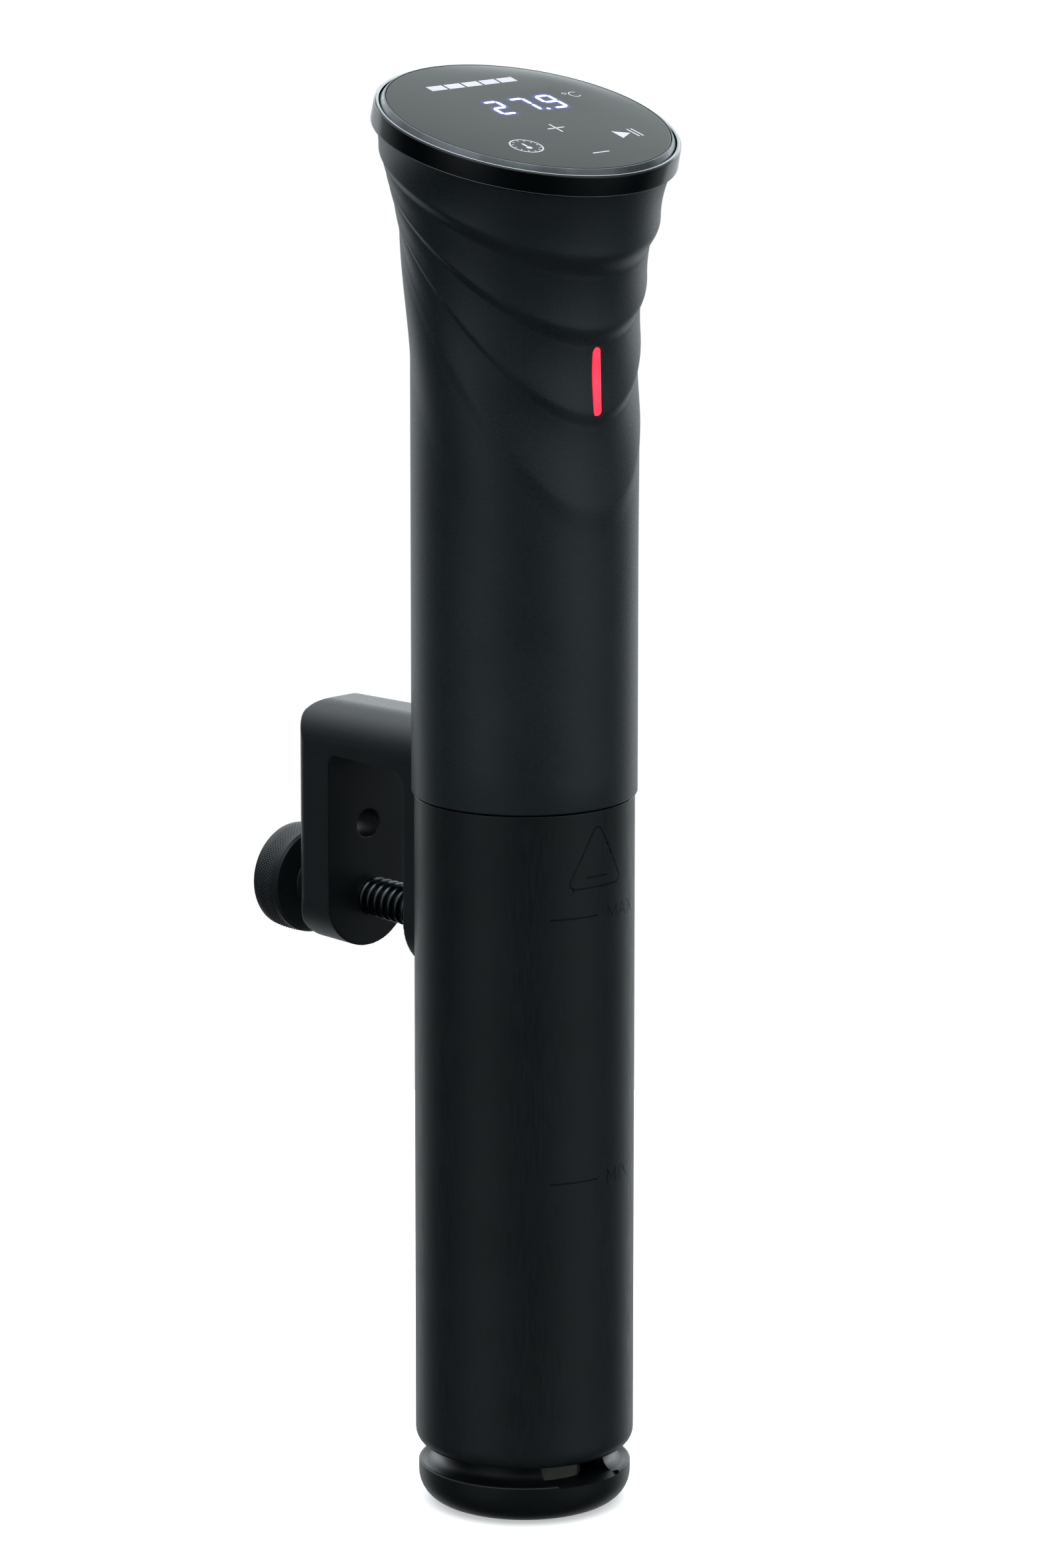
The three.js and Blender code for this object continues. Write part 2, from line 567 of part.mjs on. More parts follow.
// U-shaped bracket: a side profile, limited by a front outline with a round lower end, by a roof
// with round shoulders that slopes as the arm does, and by a plan with rounded outer corners.
function bracketBody() {
  const [innerY, outerY] = OUTER_LEG_Y;
  const legBottom = SCREW_Z - CLAMP_HALF_WIDTH;
  const inside = 5; // radius inside the U
  const edge = 4.3; // radius round the outer end
  const behind = 24; // inside the body, cut away below
  const spare = 1; // by which one outline stands clear of what another one limits
  const slope = ARM_RISE / (outerY - behind);
  const roofTop = ARM_TOP_Z + slope * outerY; // where the sloping roof would meet Y = 0

  const side = new THREE.Shape();
  side.moveTo(behind, legBottom - spare);
  side.lineTo(JAW_Y, legBottom - spare);
  side.absarc(JAW_Y + inside, ARM_UNDERSIDE_Z - inside, inside, Math.PI, Math.PI / 2, true);
  side.absarc(innerY - inside, ARM_UNDERSIDE_Z - inside, inside, Math.PI / 2, 0, true);
  side.lineTo(innerY, legBottom - spare);
  side.lineTo(outerY, legBottom - spare);
  side.absarc(outerY - edge, ARM_TOP_Z - edge, edge, 0, Math.PI / 2);
  side.lineTo(behind, ARM_TOP_Z + ARM_RISE + spare);

  const front = new THREE.Shape();
  front.absarc(0, SCREW_Z, CLAMP_HALF_WIDTH, Math.PI, 2 * Math.PI);
  front.lineTo(CLAMP_HALF_WIDTH, roofTop + spare);
  front.lineTo(-CLAMP_HALF_WIDTH, roofTop + spare);

  const roof = new THREE.Shape();
  const [shoulderX, shoulderZ] = [CLAMP_HALF_WIDTH - ARM_SHOULDER_RADIUS, roofTop - ARM_SHOULDER_RADIUS];
  roof.moveTo(-CLAMP_HALF_WIDTH, legBottom - 2 * spare);
  roof.lineTo(CLAMP_HALF_WIDTH, legBottom - 2 * spare);
  roof.absarc(shoulderX, shoulderZ, ARM_SHOULDER_RADIUS, 0, Math.PI / 2);
  roof.absarc(-shoulderX, shoulderZ, ARM_SHOULDER_RADIUS, Math.PI / 2, Math.PI);
  const lean = new THREE.Matrix4().makeShear(0, 0, 0, -slope, 0, 0);

  const plan = new THREE.Shape();
  plan.moveTo(-CLAMP_HALF_WIDTH, behind);
  plan.lineTo(CLAMP_HALF_WIDTH, behind);
  plan.absarc(CLAMP_HALF_WIDTH - edge, outerY - edge, edge, 0, Math.PI / 2);
  plan.absarc(edge - CLAMP_HALF_WIDTH, outerY - edge, edge, Math.PI / 2, Math.PI);

  const body = common(
    acrossX(side, CLAMP_HALF_WIDTH + spare),
    throughY(front, behind - spare, outerY + spare),
    throughY(roof, behind - spare, outerY + spare).applyMatrix4(lean),
    extrude(plan, roofTop - legBottom + 10).translate(0, 0, legBottom - 5),
  );
  return cut(body, rod(HOUSING_RADIUS + GAP, legBottom - 5, roofTop + 5, 32));
}

function addClamp() {
  const [innerY, outerY] = OUTER_LEG_Y;
  const insertRadius = 4.9;
  const insertSeat = innerY + 3;
  const headDepth = 1.6;
  const fixingRadius = FIXING_SHANK_RADIUS + GAP;
  add(
    'clamp_bracket',
    cut(
      bracketBody(),
      alongY(rod(ACCESS_HOLE.radius, innerY - 5, outerY + 5, 24), 0, ACCESS_HOLE.z),
      alongY(rod(SCREW_RADIUS + 0.4, innerY - 5, outerY + 5, 24), 0, SCREW_Z),
      alongY(rod(insertRadius + GAP, insertSeat, outerY + 5, 24), 0, SCREW_Z),
      alongY(rod(fixingRadius, 20, JAW_Y + 5, 16), 0, ACCESS_HOLE.z),
      alongY(rod(FIXING_HEAD_RADIUS + GAP, JAW_Y - headDepth, JAW_Y + 5, 24), 0, ACCESS_HOLE.z),
      alongY(rod(fixingRadius, 20, 38.5, 16), 0, UPPER_FIXING_Z),
    ),
    MATERIALS.clamp,
  );
  add(
    'thread_insert',
    alongY(tube(SCREW_RADIUS + GAP, insertRadius, insertSeat + GAP, outerY, 24), 0, SCREW_Z),
    MATERIALS.brass,
  );

  const lowerHeadBack = JAW_Y - headDepth + GAP;
  const lowerScrew = turned(
    [
      [0, 23.5], [FIXING_SHANK_RADIUS, 23.5], [FIXING_SHANK_RADIUS, lowerHeadBack],
      [FIXING_HEAD_RADIUS, lowerHeadBack], [FIXING_HEAD_RADIUS, JAW_Y - 0.2], [0, JAW_Y - 0.2],
    ],
    16,
  );
  add('bracket_screw_lower', alongY(lowerScrew, 0, ACCESS_HOLE.z), MATERIALS.steel);
  const upperScrew = turned(
    [
      [0, 22], [FIXING_HEAD_RADIUS, 22], [FIXING_HEAD_RADIUS, 23.8], [FIXING_SHANK_RADIUS, 23.8],
      [FIXING_SHANK_RADIUS, 38], [0, 38],
    ],
    16,
  );
  add('bracket_screw_upper', alongY(upperScrew, 0, UPPER_FIXING_Z), MATERIALS.steel);

  const plateZone = block([-11, 11], [15, 40], [167, 181]);
  const plateHole = alongY(rod(fixingRadius, 15, 40, 16), 0, ACCESS_HOLE.z);
  add(
    'backing_plate',
    cut(common(tube(24.8, SLEEVE_INNER_RADIUS - GAP, 167, 181), plateZone), plateHole),
    MATERIALS.steel,
  );
}

// The clamp screw with its knob outside, foot inside, and the spring between foot and leg.
function addClampScrew() {
  const [innerY] = OUTER_LEG_Y;
  const { radius, front, back, socketRadius, socketDepth } = FOOT;
  const socketEnd = back - socketDepth;
  add('foot_pad', alongY(rod(radius - 0.7, JAW_Y + 0.4, front - GAP), 0, SCREW_Z), MATERIALS.rubber);
  const foot = turned(
    [
      [0, front], [radius - 0.4, front], [radius, front + 0.4], [radius, back - 0.5],
      [radius - 0.5, back], [socketRadius, back], [socketRadius, socketEnd], [0, socketEnd],
    ],
    28,
  );
  add('clamp_foot', alongY(foot, 0, SCREW_Z), MATERIALS.clamp);

  const { coilRadius, wireRadius, turns } = SPRING;
  const ends = [back + GAP + wireRadius, innerY - GAP - wireRadius];
  const spring = coil(new Helix(coilRadius, ...ends, turns), wireRadius, 12, 3);
  add('clamp_spring', alongY(spring, 0, SCREW_Z), MATERIALS.springSteel);

  const rodEnd = KNOB.inner + 5.5;
  add('clamp_screw', alongY(rod(SCREW_RADIUS, socketEnd + GAP, rodEnd), 0, SCREW_Z), MATERIALS.steel);
  const hubStart = OUTER_LEG_Y[1] + GAP;
  const bore = SCREW_RADIUS + GAP;
  const knob = turned(
    [
      [0, rodEnd + GAP], [bore, rodEnd + GAP], [bore, hubStart], [KNOB.hubRadius, hubStart],
      [KNOB.hubRadius, KNOB.inner], [KNOB.radius - KNOB.edge, KNOB.inner],
      [KNOB.radius, KNOB.inner + KNOB.edge], [KNOB.radius, KNOB.outer - KNOB.edge],
      [KNOB.radius - KNOB.edge, KNOB.outer], [0, KNOB.outer],
    ],
    36,
  );
  add('clamp_knob', alongY(knob, 0, SCREW_Z), MATERIALS.clamp);
}

addHousing();
addHead();
addElectronics();
addGland();
addSleeve();
addBaseCap();
addPumpDrive();
addPumpFrame();
addHeater();
addClamp();
addClampScrew();

export default circulator;
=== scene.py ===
"""Looks of the sous vide circulator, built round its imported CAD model.

Shapes are worked out in millimetres and made in metres. +Z is up, the front with the light bar
faces -Y, and the clamp is on +Y. The touch panel lies in the tilted frame HEAD.
"""

import json
import math

import bpy
from mathutils import Matrix, Vector, geometry


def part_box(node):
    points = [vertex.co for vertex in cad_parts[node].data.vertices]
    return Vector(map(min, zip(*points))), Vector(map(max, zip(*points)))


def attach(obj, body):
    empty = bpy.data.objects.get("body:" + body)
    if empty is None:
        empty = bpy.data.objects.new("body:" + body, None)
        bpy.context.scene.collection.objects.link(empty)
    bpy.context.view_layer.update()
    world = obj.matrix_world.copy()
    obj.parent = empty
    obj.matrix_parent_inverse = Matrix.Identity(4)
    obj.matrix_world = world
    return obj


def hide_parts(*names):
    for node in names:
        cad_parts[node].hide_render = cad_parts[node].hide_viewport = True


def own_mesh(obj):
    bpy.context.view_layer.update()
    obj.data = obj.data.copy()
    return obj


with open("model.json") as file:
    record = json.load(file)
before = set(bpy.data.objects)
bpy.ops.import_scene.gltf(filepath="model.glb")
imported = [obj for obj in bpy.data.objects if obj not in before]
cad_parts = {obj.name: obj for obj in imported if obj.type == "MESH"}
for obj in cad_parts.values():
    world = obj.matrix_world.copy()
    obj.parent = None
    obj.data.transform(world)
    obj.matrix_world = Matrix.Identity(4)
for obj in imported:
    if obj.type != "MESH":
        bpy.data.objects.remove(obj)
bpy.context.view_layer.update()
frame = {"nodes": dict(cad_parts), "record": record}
scene = bpy.context.scene

# ---------------- dimensions, in millimetres

MM = 0.001
GAP = 0.3  # between neighbouring parts of the head and housing


def span(node):
    """Lowest and highest corner of a CAD node, in millimetres."""
    low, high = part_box(node)
    return low / MM, high / MM


# Upper housing: the same rippled surface as the CAD model's, made with more points.
HEAD_TILT = math.radians(13.9)
HEAD_PIVOT_Z = 369
HEAD_RIM_RADIUS = 39.2
HOUSING_RADIUS = 30
HOUSING_WALL = 2.4
# A ripple's step falls by drop from the sides to the front and rises as much to the back. fold
# raises it at the sides and lowers it at the front and back. A crest or valley is (radius at the
# sides, how much less at the front), and reach is the valley's share of the way to the next step.
RIPPLES = (
    {"height": 357.6, "drop": 14.3, "fold": 0.5,
     "crest": (36.8, 1.9), "valley": (35.1, 3.2), "reach": 0.3},
    {"height": 346.2, "drop": 23.4, "fold": 0.0,
     "crest": (34.1, 3.2), "valley": (33.1, 4.0), "reach": 0.2},
    {"height": 333.2, "drop": 31.1, "fold": 1.9,
     "crest": (32.3, 2.9), "valley": (31.9, 3.3), "reach": 0.12},
    {"height": 320.0, "drop": 43.4, "fold": 2.7,
     "crest": (31.6, 1.9), "valley": (31.4, 1.9), "reach": 0.15},
)
CREST_ABOVE_STEP = 0.05  # as a share of the way to the step above
SCOOP = 0.55  # how far the runs between the steps are hollowed at the front
LAST_RIPPLE_FADE = 35
LAST_LEVEL = 2 * len(RIPPLES) + 1

# Tilted head, from the underside of the bezel.
BEZEL_RADIUS = 40.5
BEZEL_HEIGHT = 5.9
BEZEL_SHELF = 2.2
TRIM_OUTER_RADIUS = 39.05
TRIM_EDGE_HEIGHT = 5.4
GLASS_RADIUS = 37.6
GLASS_THICKNESS = 2
GLASS_TOP = 7
PRINT_HEIGHT = 0.02  # how far the printed and lit marks stand on the glass
HEAD = Matrix.Translation((0, 0, HEAD_PIVOT_Z)) @ Matrix.Rotation(HEAD_TILT, 4, "X")

SEAM_Z = (span("lower_sleeve")[1].z, span("upper_housing")[0].z)
SLEEVE_RADIUS = span("lower_sleeve")[1].x
SLEEVE_BOTTOM_Z = span("lower_sleeve")[0].z

LIGHT_HALF_WIDTH = span("led_light_bar")[1].x
LIGHT_Z = (span("led_light_bar")[0].z, span("led_light_bar")[1].z)
LIGHT_BACK_Y = span("led_light_bar")[1].y

CLAMP_HALF_WIDTH = span("clamp_bracket")[1].x
JAW_Y = 33.4
OUTER_LEG_Y = (64.7, span("clamp_bracket")[1].y)
ARM_UNDERSIDE_Z = 196.4
ARM_TOP_Z = 208.7
ARM_RISE = 2.6
ARM_SHOULDER_RADIUS = 11
SCREW_Z = 155.3
ACCESS_HOLE_Z = 175.2
ACCESS_HOLE_RADIUS = 3.85
UPPER_FIXING_Z = 203.5
FIXING_HOLE_RADIUS = 2.1
GLAND_Z = 322
GLAND_HOLE_RADIUS = 6.3
THROUGH_WALL = (20, 40)  # radii between which a tool cuts right through a wall of the body



def along_y(z):
    """Turns what is made about Z to lie along Y, at that height."""
    return Matrix.Translation((0, 0, z)) @ Matrix.Rotation(-math.pi / 2, 4, "X")


SCREW_AXIS = along_y(SCREW_Z)
GLAND_AXIS = along_y(GLAND_Z)

# ---------------- camera, stage and light

CAMERA_AZIMUTH = math.radians(-41)
CAMERA_ELEVATION = math.radians(13)
CAMERA_DISTANCE = 2150
CAMERA_LENS = 186.3
AIM_Z = 197.3
AIM_LEFT = 0.53


def make_camera():
    right = Vector((math.cos(CAMERA_AZIMUTH), math.sin(CAMERA_AZIMUTH), 0))
    back = Vector((right.y, -right.x, 0)) * math.cos(CAMERA_ELEVATION)
    back.z = math.sin(CAMERA_ELEVATION)
    camera = bpy.data.objects.new("camera", bpy.data.cameras.new("camera"))
    scene.collection.objects.link(camera)
    camera.data.lens = CAMERA_LENS
    camera.data.clip_start = 0.1
    camera.data.clip_end = 20
    camera.location = (Vector((0, 0, AIM_Z)) - AIM_LEFT * right + CAMERA_DISTANCE * back) * MM
    camera.rotation_mode = "QUATERNION"
    camera.rotation_quaternion = back.to_track_quat("Z", "Y")
    scene.camera = camera


def add_node(tree, kind, inputs=None, **settings):
    """A shader node with its settings, and its sockets set to values or linked to other sockets."""
    made = tree.nodes.new("ShaderNode" + kind)
    for key, value in settings.items():
        setattr(made, key, value)
    for socket, value in (inputs or {}).items():
        if isinstance(value, bpy.types.NodeSocket):
            tree.links.new(value, made.inputs[socket])
        else:
            made.inputs[socket].default_value = value
    return made


# Upright bands of the studio round the object: azimuth from the camera in degrees, and strength.
STUDIO_BANDS = (
    (-135, 0.44), (-45, 0.398), (-22.5, 0.03), (45, 0.225), (67.5, 0.388), (135, 0.52),
    (157.5, 0.146),
)
BAND_SHARPNESS = 14
BACKDROP_EDGE = (0.66, 0.80)  # cosines of the angle from straight behind, over which it fades in
BACKDROP_STRENGTH = 0.7
REAR_GLOW_STRENGTH = 1.9  # just above the horizon, behind the object
OVERHEAD_STRENGTH = 2.6
OVERHEAD_SHARPNESS = 2.5


def level_direction(azimuth):
    """Horizontal direction at that azimuth, in degrees, from the camera's side of the object."""
    a = CAMERA_AZIMUTH + math.radians(azimuth)
    return Vector((math.sin(a), -math.cos(a), 0))


def make_world():
    """Paper white behind the object, and for the surfaces a dim studio with soft upright bands."""
    world = bpy.data.worlds.new("studio")
    world.use_nodes = True
    scene.world = world
    tree = world.node_tree
    tree.nodes.clear()

    def dot(vector, other):
        made = add_node(tree, "VectorMath", {0: vector, 1: other}, operation="DOT_PRODUCT")
        return made.outputs["Value"]

    def calculate(operation, a, b):
        return add_node(tree, "Math", {0: a, 1: b}, operation=operation).outputs[0]

    def ramp(value, start, end, height=1.0):
        inputs = {0: value, 1: start, 2: end, 4: height}
        return add_node(tree, "MapRange", inputs, interpolation_type="SMOOTHSTEP").outputs[0]

    where = add_node(tree, "TexCoord").outputs["Generated"]
    level = add_node(tree, "VectorMath", {0: where, 1: (1, 1, 0)}, operation="MULTIPLY").outputs[0]
    unit = add_node(tree, "VectorMath", {0: level}, operation="NORMALIZE").outputs[0]
    height = dot(where, (0, 0, 1))
    behind = ramp(dot(unit, level_direction(180)), *BACKDROP_EDGE)
    rise = ramp(height, 0.02, 0.14)
    low_glow = calculate("MULTIPLY", rise, ramp(height, 0.38, 0.22, REAR_GLOW_STRENGTH))
    backdrop = calculate("MULTIPLY", behind, calculate("ADD", low_glow, BACKDROP_STRENGTH))
    bands = 0
    for azimuth, strength in STUDIO_BANDS:
        facing = calculate("MAXIMUM", dot(unit, level_direction(azimuth)), 0)
        share = calculate("POWER", facing, BAND_SHARPNESS)
        bands = calculate("ADD", bands, calculate("MULTIPLY", share, strength))
    from_above = add_node(tree, "MapRange", {0: height, 1: -0.5, 2: 0.35, 3: 0.4, 4: 2.0}).outputs[0]
    bands = calculate("MULTIPLY", bands, from_above)
    upright = calculate("MULTIPLY", calculate("ADD", backdrop, bands), dot(level, level))
    overhead = calculate("POWER", calculate("MAXIMUM", height, 0), OVERHEAD_SHARPNESS)
    radiance = calculate("ADD", upright, calculate("MULTIPLY", overhead, OVERHEAD_STRENGTH))
    dim = add_node(tree, "Background", {"Color": (0.93, 1.0, 1.03, 1), "Strength": radiance})
    paper = add_node(tree, "Background", {"Color": (1, 1, 1, 1), "Strength": 1.0})
    rays = add_node(tree, "LightPath").outputs["Is Camera Ray"]
    both = add_node(tree, "MixShader", {0: rays, 1: dim.outputs[0], 2: paper.outputs[0]})
    output = tree.nodes.new("ShaderNodeOutputWorld")
    tree.links.new(both.outputs[0], output.inputs["Surface"])


SOFTBOX_DISTANCE = 1.4  # metres


def add_softbox(name, azimuth, elevation, size, power):
    """A square area light that looks at the middle of the object, at an azimuth from the camera."""
    e = math.radians(elevation)
    back = level_direction(azimuth) * math.cos(e)
    back.z = math.sin(e)
    data = bpy.data.lights.new(name, "AREA")
    data.shape = "SQUARE"
    data.size = size
    data.energy = power
    light = bpy.data.objects.new(name, data)
    scene.collection.objects.link(light)
    light.location = Vector((0, 0, AIM_Z * MM)) + back * SOFTBOX_DISTANCE
    light.rotation_mode = "QUATERNION"
    light.rotation_quaternion = back.to_track_quat("Z", "Y")


def make_lights():
    add_softbox("front_top", 0, 60, 1.2, 1.5)
    add_softbox("rear_left", -130, 40, 0.8, 0.36)


FLOOR_RADIUS = 420


def make_floor():
    """A round sheet of white paper, left out of glossy reflections so that dark plastic stays dark."""
    mesh = bpy.data.meshes.new("floor")
    mesh.from_pydata([Vector(p) * MM for p in circle(FLOOR_RADIUS, 0, 96)], [], [tuple(range(96))])
    floor = bpy.data.objects.new("floor", mesh)
    scene.collection.objects.link(floor)
    floor.visible_glossy = False
    paper, tree, shader = start_finish(
        "floor_paper", Roughness=0.9, Specular_IOR_Level=0.1, Emission_Color=(1, 1, 1, 1),
        Emission_Strength=0.45,
    )
    spots = add_node(tree, "TexNoise", {"Scale": 9.0, "Detail": 3.0})
    tone = add_node(tree, "ValToRGB", {"Fac": spots.outputs[0]})
    tone.color_ramp.elements[0].color = (0.80, 0.80, 0.80, 1)
    tone.color_ramp.elements[1].color = (0.84, 0.84, 0.84, 1)
    tree.links.new(tone.outputs[0], shader.inputs["Base Color"])
    mesh.materials.append(paper)


# ---------------- materials

def start_finish(name, **values):
    """A new material, its node tree and its shader, with the shader's plain values set."""
    made = bpy.data.materials.new(name)
    made.use_nodes = True
    shader = made.node_tree.nodes["Principled BSDF"]
    for socket, value in values.items():
        shader.inputs[socket.replace("_", " ")].default_value = value
    return made, made.node_tree, shader


def noise_field(tree, scale, detail=2.0, stretch=(1, 1, 1)):
    """Noise in the object's own space, with scale in features a metre."""
    place = add_node(tree, "TexCoord").outputs["Object"]
    stretched = add_node(tree, "Mapping", {"Vector": place, "Scale": stretch}).outputs[0]
    return add_node(tree, "TexNoise", {"Vector": stretched, "Scale": scale, "Detail": detail}).outputs[0]


def mix_tones(tree, factor, dark, light):
    ramp = add_node(tree, "ValToRGB", {"Fac": factor})
    for element, position, tone in zip(ramp.color_ramp.elements, (0.3, 0.7), (dark, light)):
        element.position = position
        element.color = (*tone, 1)
    return ramp.outputs[0]


def link_surface(tree, shader, tones, texture, spread, roughness, bump):
    """Links the shader's colour to tones, and its roughness and relief to a fine texture."""
    tree.links.new(tones, shader.inputs["Base Color"])
    inputs = {0: texture, 1: 0.5 - spread, 2: 0.5 + spread, 3: roughness[0], 4: roughness[1]}
    tree.links.new(add_node(tree, "MapRange", inputs).outputs[0], shader.inputs["Roughness"])
    relief = add_node(tree, "Bump", {"Height": texture, "Strength": 1.0, "Distance": bump})
    tree.links.new(relief.outputs[0], shader.inputs["Normal"])


def plastic(
    name, dark, light, roughness, grain=2600, bump=0.00002, stretch=(1, 1, 1), specular=0.5, **values
):
    """Moulded plastic: its tone and gloss wander slowly, and a fine spark-eroded grain stands as bump."""
    made, tree, shader = start_finish(name, Specular_IOR_Level=specular, **values)
    slow = noise_field(tree, 60, 3.0)
    fine = noise_field(tree, grain, 2.0, stretch)
    both = add_node(tree, "Math", {0: slow, 1: fine}, operation="ADD").outputs[0]
    half = add_node(tree, "Math", {0: both, 1: 0.5}, operation="MULTIPLY").outputs[0]
    link_surface(tree, shader, mix_tones(tree, half, dark, light), fine, 0.2, roughness, bump)
    return made


def metal(name, dark, light, roughness, streaks=(1, 1, 1), scale=900):
    """Metal with drawn or turned streaks along the direction in which they are stretched."""
    made, tree, shader = start_finish(name, Metallic=1.0)
    lines = noise_field(tree, scale, 3.0, streaks)
    stains = noise_field(tree, 120, 4.0)
    tones = mix_tones(tree, stains, dark, light)
    link_surface(tree, shader, tones, lines, 0.25, roughness, bump=0.00001)
    return made


def circuit_board(name):
    """Solder mask with paler copper tracks showing through, from a grid of bent lines."""
    made, tree, shader = start_finish(name, Coat_Weight=0.4, Coat_Roughness=0.2)
    place = add_node(tree, "TexCoord").outputs["Object"]
    grid = {"Vector": place, "Scale": 260.0}
    cells = add_node(tree, "TexVoronoi", grid, distance="MANHATTAN", feature="F1")
    edge = add_node(tree, "MapRange", {0: cells.outputs["Distance"], 1: 0.42, 2: 0.5}).outputs[0]
    tones = mix_tones(tree, edge, (0.010, 0.085, 0.028), (0.03, 0.20, 0.075))
    tree.links.new(tones, shader.inputs["Base Color"])
    wander = noise_field(tree, 400)
    gloss = add_node(tree, "MapRange", {0: wander, 1: 0.3, 2: 0.7, 3: 0.3, 4: 0.45})
    tree.links.new(gloss.outputs[0], shader.inputs["Roughness"])
    return made


GLOW_COLOR = (0.10, 0.13, 1.0, 1)
# Base colours of the panel: the dark film's tone, raised with a painted reflection of the studio's grey.
PANEL_DARK_WITH_REFLECTION = (0.018, 0.024, 0.020)
PANEL_LIGHT_WITH_REFLECTION = (0.021, 0.027, 0.023)


def panel_glass(name):
    """Smoked glass with a film behind it, faint wipe marks, and the halo of the lit digits. Its greenish
    grey base colour is partly a painted reflection of the studio, beside the glass's own gloss.
    """
    made, tree, shader = start_finish(name, Specular_IOR_Level=0.18, Emission_Color=GLOW_COLOR)
    smear = noise_field(tree, 55, 5.0, (1.0, 2.5, 1.0))
    tree.links.new(mix_tones(tree, smear, PANEL_DARK_WITH_REFLECTION, PANEL_LIGHT_WITH_REFLECTION), shader.inputs["Base Color"])
    gloss = add_node(tree, "MapRange", {0: smear, 1: 0.3, 2: 0.7, 3: 0.06, 4: 0.10})
    tree.links.new(gloss.outputs[0], shader.inputs["Roughness"])
    glow = add_node(tree, "Attribute", attribute_name="glow").outputs["Fac"]
    tree.links.new(glow, shader.inputs["Emission Strength"])
    return made


def lit(name, edge, middle, strength, scale=900):
    """A lit diffuser: brighter and paler in patches, as over the diodes behind it."""
    made, tree, shader = start_finish(
        name, Base_Color=(*edge, 1), Roughness=0.35, Emission_Strength=strength,
    )
    patches = noise_field(tree, scale, 1.0)
    tree.links.new(mix_tones(tree, patches, edge, middle), shader.inputs["Emission Color"])
    return made


def make_finishes():
    """A material for each slot of the record, two variants and two for marks on the glass."""
    return {
        "housing": plastic(
            "soft_touch", (0.0060, 0.0102, 0.0125), (0.0105, 0.0160, 0.0190), (0.34, 0.44), grain=2400,
            bump=0.00006,
        ),
        "sleeve": plastic(
            "satin_black", (0.0030, 0.0052, 0.0062), (0.0058, 0.0082, 0.0095), (0.36, 0.46), grain=1800,
            bump=0.000008, stretch=(1, 1, 0.08), specular=0.36,
        ),
        # Painted shade: the sleeve's satin black made darker for the base cap, which sits lowest and gets
        # less light.
        "base": plastic(
            "satin_black_painted_shade", (0.0022, 0.0034, 0.0042), (0.0042, 0.0056, 0.0066), (0.32, 0.42),
            grain=1800, bump=0.000008, specular=0.24,
        ),
        "bezel": plastic(
            "gloss_black", (0.0012, 0.0022, 0.0030), (0.0022, 0.0034, 0.0042), (0.05, 0.09), grain=300,
            bump=0.000002, specular=0.34,
        ),
        "trim": metal(
            "satin_trim", (0.085, 0.095, 0.10), (0.14, 0.15, 0.16), (0.24, 0.42), streaks=(1, 1, 0.05),
            scale=1500,
        ),
        # Painted highlight: a bright metal standing in for the white reflection along the gloss black
        # bezel's top edge.
        "painted_highlight": metal(
            "painted_highlight_edge", (0.40, 0.43, 0.44), (0.55, 0.58, 0.59), (0.18, 0.28), streaks=(1, 1, 0.1),
        ),
        "glass": panel_glass("panel_glass"),
        "light": lit("red_light", (1.0, 0.028, 0.060), (1.0, 0.052, 0.090), 1.15, 180),
        "clamp": plastic(
            "clamp_black", (0.0036, 0.0058, 0.0070), (0.0066, 0.0092, 0.0106), (0.34, 0.43), grain=2200,
            bump=0.00002, specular=0.42,
        ),
        "rubber": plastic(
            "rubber", (0.006, 0.006, 0.006), (0.011, 0.011, 0.011), (0.75, 0.9), grain=1500,
            bump=0.00004,
        ),
        "steel": metal(
            "turned_steel", (0.36, 0.37, 0.38), (0.50, 0.51, 0.52), (0.2, 0.36), streaks=(1, 1, 0.1),
        ),
        "spring_steel": metal(
            "oiled_spring", (0.045, 0.052, 0.055), (0.085, 0.095, 0.10), (0.16, 0.30), scale=1200,
        ),
        "brass": metal("brass", (0.50, 0.33, 0.10), (0.66, 0.47, 0.18), (0.25, 0.4)),
        "board": circuit_board("circuit_board"),
        "white_plastic": plastic(
            "natural_nylon", (0.56, 0.56, 0.53), (0.68, 0.68, 0.65), (0.4, 0.5), Subsurface_Weight=0.1,
            Subsurface_Scale=0.002,
        ),
        "electronics": plastic(
            "moulded_package", (0.012, 0.012, 0.014), (0.022, 0.022, 0.026), (0.4, 0.55),
        ),
        "capacitor_sleeve": plastic(
            "shrink_sleeve", (0.014, 0.028, 0.09), (0.024, 0.042, 0.13), (0.2, 0.3),
        ),
        "aluminium": metal(
            "aluminium", (0.50, 0.51, 0.52), (0.64, 0.65, 0.66), (0.25, 0.45), streaks=(0.1, 1, 1),
        ),
        # Printed ink with a painted glow: the signs are not lit, yet this material emits a little light.
        "print_and_painted_glow": plastic(
            "printed_mark_painted_glow", (0.42, 0.41, 0.45), (0.50, 0.49, 0.53), (0.3, 0.4), grain=3000,
            bump=0.000001, Emission_Color=(0.55, 0.53, 0.60, 1), Emission_Strength=0.25,
        ),
        "digits": lit("lit_digits", (0.80, 0.84, 1.0), (0.95, 0.97, 1.0), 1.6),
    }


# ---------------- shape helpers

